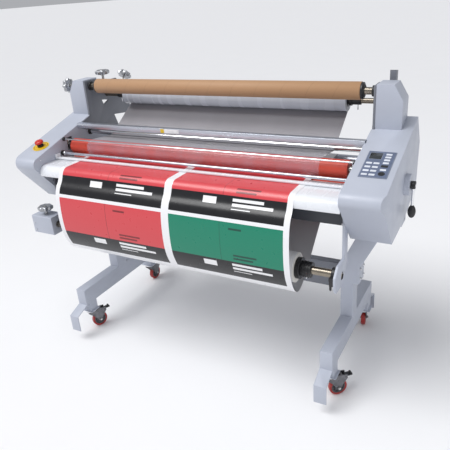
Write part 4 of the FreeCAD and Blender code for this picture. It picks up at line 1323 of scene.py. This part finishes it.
class LAMINATOR_OT_casters(bpy.types.Operator):
    """Four swivel casters with tyres, housings and brake pedals"""

    bl_idname = "laminator.casters"
    bl_label = "Casters"

    def execute(self, context):
        tyre = paint("urethane_tyre", urethane, looks().tyres)
        housing = paint("caster_housing", cast_alloy, (0.20, 0.20, 0.215))
        hub = paint("caster_hub", moulded, (0.10, 0.10, 0.11), 0.42)
        for name, (y, side, degrees) in CASTERS.items():
            heading = Matrix.Rotation(math.radians(degrees), 4, "Z")
            place = Matrix.Translation((side * CASTER_X, y, 0)) @ heading
            self.wheel(name, place, tyre, hub)
            softened("fork_" + name, "caster_fork_" + name, housing, 0.8)
            self.trim(name, place)
            softened("pedal_" + name, "brake_pedal_" + name, black(), 1.0)
        return {"FINISHED"}

    def wheel(self, name, place, tyre, hub):
        """Crowned tyre on a webbed hub with a steel bearing."""
        piece = Piece("caster_wheel_" + name, tyre, hub, steel())
        at = (TRAIL, 0, WHEEL_R)
        crown = [(-12, 36), (-12, 41), (-10.4, 43.8), (-6, 44.8), (0, 45), (6, 44.8), (10.4, 43.8), (12, 41),
                 (12, 36), (9, 33.5), (-9, 33.5), (-12, 36)]
        piece.lathe(crown, at, Y_AXIS, 0, 72)
        web = [(-10, 30), (-10, 34), (10, 34), (10, 30), (4, 28), (4, 15), (-4, 15), (-4, 28), (-10, 30)]
        piece.lathe(web, at, Y_AXIS, 1, 72)
        piece.ring(-12, 12, 4.1, 15.5, at, Y_AXIS, 1, 1.2, 40)
        for side in (-1, 1):
            inner, outer = span(side, 11.6, 12.6)
            piece.ring(inner, outer, 4.2, 9.5, at, Y_AXIS, 2, 0.3, 36)
        for spoke in range(8):
            turn = Matrix.Translation(at) @ Matrix.Rotation(math.pi * spoke / 4, 4, "Y")
            piece.block((-1.3, -9, 14.5), (1.3, 9, 31), 0.5, 1, turn)
        piece.done(BODY_OF["wheel_" + name], "wheel_urethane", ["wheel_" + name], turn=place)

    def trim(self, name, place):
        """Bright swivel race, king pin nut and axle nuts of one caster."""
        piece = Piece("caster_trim_" + name, chrome(), steel())
        piece.ring(119, 128.5, 22, 31.5, (0, 0, 0), Z_AXIS, 0, 1.6, 56)
        piece.disc(108.5, 114.5, 9, (0, 0, 0), Z_AXIS, 1, 0.8, 6)
        for side in (-1, 1):
            piece.disc(18.6, 25.5, 8.2, (TRAIL, 0, WHEEL_R), Y_AXIS * side, 1, 0.9, 6)
            piece.disc(25, 28, 4.2, (TRAIL, 0, WHEEL_R), Y_AXIS * side, 0, 0.8, 24)
        piece.done(BODY_OF["fork_" + name], "fork_metal", degrees=32, turn=place)


class LAMINATOR_OT_fasteners(bpy.types.Operator):
    """Every visible screw head, from one Geometry Nodes tree"""

    bl_idname = "laminator.fasteners"
    bl_label = "Screws"

    def execute(self, context):
        rows = []
        for side in (-1, 1):
            for y, z in HANGER_SCREWS:
                rows.append(((side * 784.5, y, z), (-side, 0, 0), 6.0))
            for y, z in PLATE_SCREWS:
                rows.append(((side * 795.8, y, z), (-side, 0, 0), 4.0))
            for y, z in LEG_SCREWS:
                rows.append(((side * 792.5, y, z), (side, 0, 0), 7.0))
        for z in (700, 660):
            rows.append(((-925, -336.4, z), (0, -1, 0), 4.5))
        for y, side, _ in CASTERS.values():
            for dx in (-33, 33):
                for dy in (-27, 27):
                    rows.append(((side * CASTER_X + dx, y + dy, 128.2), (0, 0, -1), 4.5))
        cloud = point_cloud("screw_points", rows)
        screws = socket_screws().apply(cloud, "socket_screw_heads", sides=28, socket_share=0.5,
                                       height_share=0.62, material=chrome())
        smooth_shading(screws.data, 30.0)
        seat(screws, FRAME_BODY, ["fasteners"])
        return {"FINISHED"}


class LAMINATOR_OT_stage(bpy.types.Operator):
    """Pale floor, soft lights and the camera"""

    bl_idname = "laminator.stage"
    bl_label = "Stage"

    def execute(self, context):
        self.floor()
        self.lights()
        self.camera()
        return {"FINISHED"}

    def floor(self):
        mesh = bpy.data.meshes.new("studio_floor")
        half = 400.0
        mesh.from_pydata([(-half, -half, 0), (half, -half, 0), (half, half, 0), (-half, half, 0)], [],
                         [(0, 1, 2, 3)])
        surface = Finish("pale_floor", (0.90, 0.90, 0.91), 0.75)
        surface.tint(surface.cloud(2.0, 2.0), 0.99, 1.0)
        mesh.materials.append(surface.material)
        floor = bpy.data.objects.new("studio_floor", mesh)
        bpy.context.scene.collection.objects.link(floor)

    def lights(self):
        world = bpy.data.worlds.new("studio")
        world.use_nodes = True
        world.node_tree.nodes["Background"].inputs[0].default_value = (0.93, 0.95, 1.0, 1.0)
        world.node_tree.nodes["Background"].inputs[1].default_value = 0.44
        bpy.context.scene.world = world
        sun = bpy.data.lights.new("key_light", "SUN")
        sun.angle = math.radians(38.0)
        sun.energy = 1.9
        key = bpy.data.objects.new("key_light", sun)
        key.rotation_euler = Vector((0.35, 0.42, -0.84)).to_track_quat("-Z", "Y").to_euler()
        bpy.context.scene.collection.objects.link(key)
        for name, spot, size, watts in (("fill_light", (4.0, -2.6, 2.6), 2.6, 26.0),
                                        ("top_light", (-1.2, -1.0, 4.2), 2.4, 30.0)):
            data = bpy.data.lights.new(name, "AREA")
            data.size = size
            data.energy = watts
            lamp = bpy.data.objects.new(name, data)
            lamp.location = spot
            lamp.rotation_euler = (Vector((0, 0, 0.9)) - Vector(spot)).to_track_quat("-Z", "Y").to_euler()
            bpy.context.scene.collection.objects.link(lamp)

    def camera(self):
        """A three-quarter view from the right, above the control panel."""
        yaw, pitch, roll = math.radians(30.13), math.radians(23.93), math.radians(-4.53)
        ahead = Vector((-math.sin(yaw) * math.cos(pitch), math.cos(yaw) * math.cos(pitch), -math.sin(pitch)))
        level = Vector((math.cos(yaw), math.sin(yaw), 0.0))
        upright = level.cross(ahead)
        right = level * math.cos(roll) + upright * math.sin(roll)
        over = upright * math.cos(roll) - level * math.sin(roll)
        data = bpy.data.cameras.new("camera")
        data.lens = 42.38
        data.sensor_width = 36.0
        camera = bpy.data.objects.new("camera", data)
        turn = Matrix((right, over, -ahead)).transposed().to_4x4()
        camera.matrix_world = Matrix.Translation(OFFSET + Vector((1346.66, -2165.24, 1801.58)) * MM) @ turn
        bpy.context.scene.collection.objects.link(camera)
        bpy.context.scene.camera = camera
        bpy.context.scene.view_settings.view_transform = "Standard"


class LAMINATOR_PT_panel(bpy.types.Panel):
    """Lists the laminator's pieces in the sidebar"""

    bl_label = "Cold Roll Laminator"
    bl_idname = "LAMINATOR_PT_panel"
    bl_space_type = "VIEW_3D"
    bl_region_type = "UI"
    bl_category = "Laminator"

    def draw(self, context):
        for group in (context.scene.laminator_finishes, context.scene.laminator_sizes):
            for key in group.__annotations__:
                self.layout.prop(group, key)
        for operator in PIECE_OPERATORS:
            self.layout.operator(operator.bl_idname)


PIECE_OPERATORS = (
    LAMINATOR_OT_covers, LAMINATOR_OT_stand, LAMINATOR_OT_table, LAMINATOR_OT_rollers,
    LAMINATOR_OT_shafts, LAMINATOR_OT_rolls, LAMINATOR_OT_webs, LAMINATOR_OT_knobs,
    LAMINATOR_OT_lever, LAMINATOR_OT_controls, LAMINATOR_OT_drive, LAMINATOR_OT_casters,
    LAMINATOR_OT_fasteners, LAMINATOR_OT_stage,
)
CLASSES = (LaminatorFinishes, LaminatorSizes, *PIECE_OPERATORS, LAMINATOR_PT_panel)


def register():
    for item in CLASSES:
        bpy.utils.register_class(item)
    bpy.types.Scene.laminator_finishes = PointerProperty(type=LaminatorFinishes)
    bpy.types.Scene.laminator_sizes = PointerProperty(type=LaminatorSizes)


def unregister():
    del bpy.types.Scene.laminator_sizes
    del bpy.types.Scene.laminator_finishes
    for item in reversed(CLASSES):
        bpy.utils.unregister_class(item)


def main():
    register()
    for operator in PIECE_OPERATORS:
        family, name = operator.bl_idname.split(".")
        getattr(getattr(bpy.ops, family), name)()


if __name__ == "__main__":
    main()
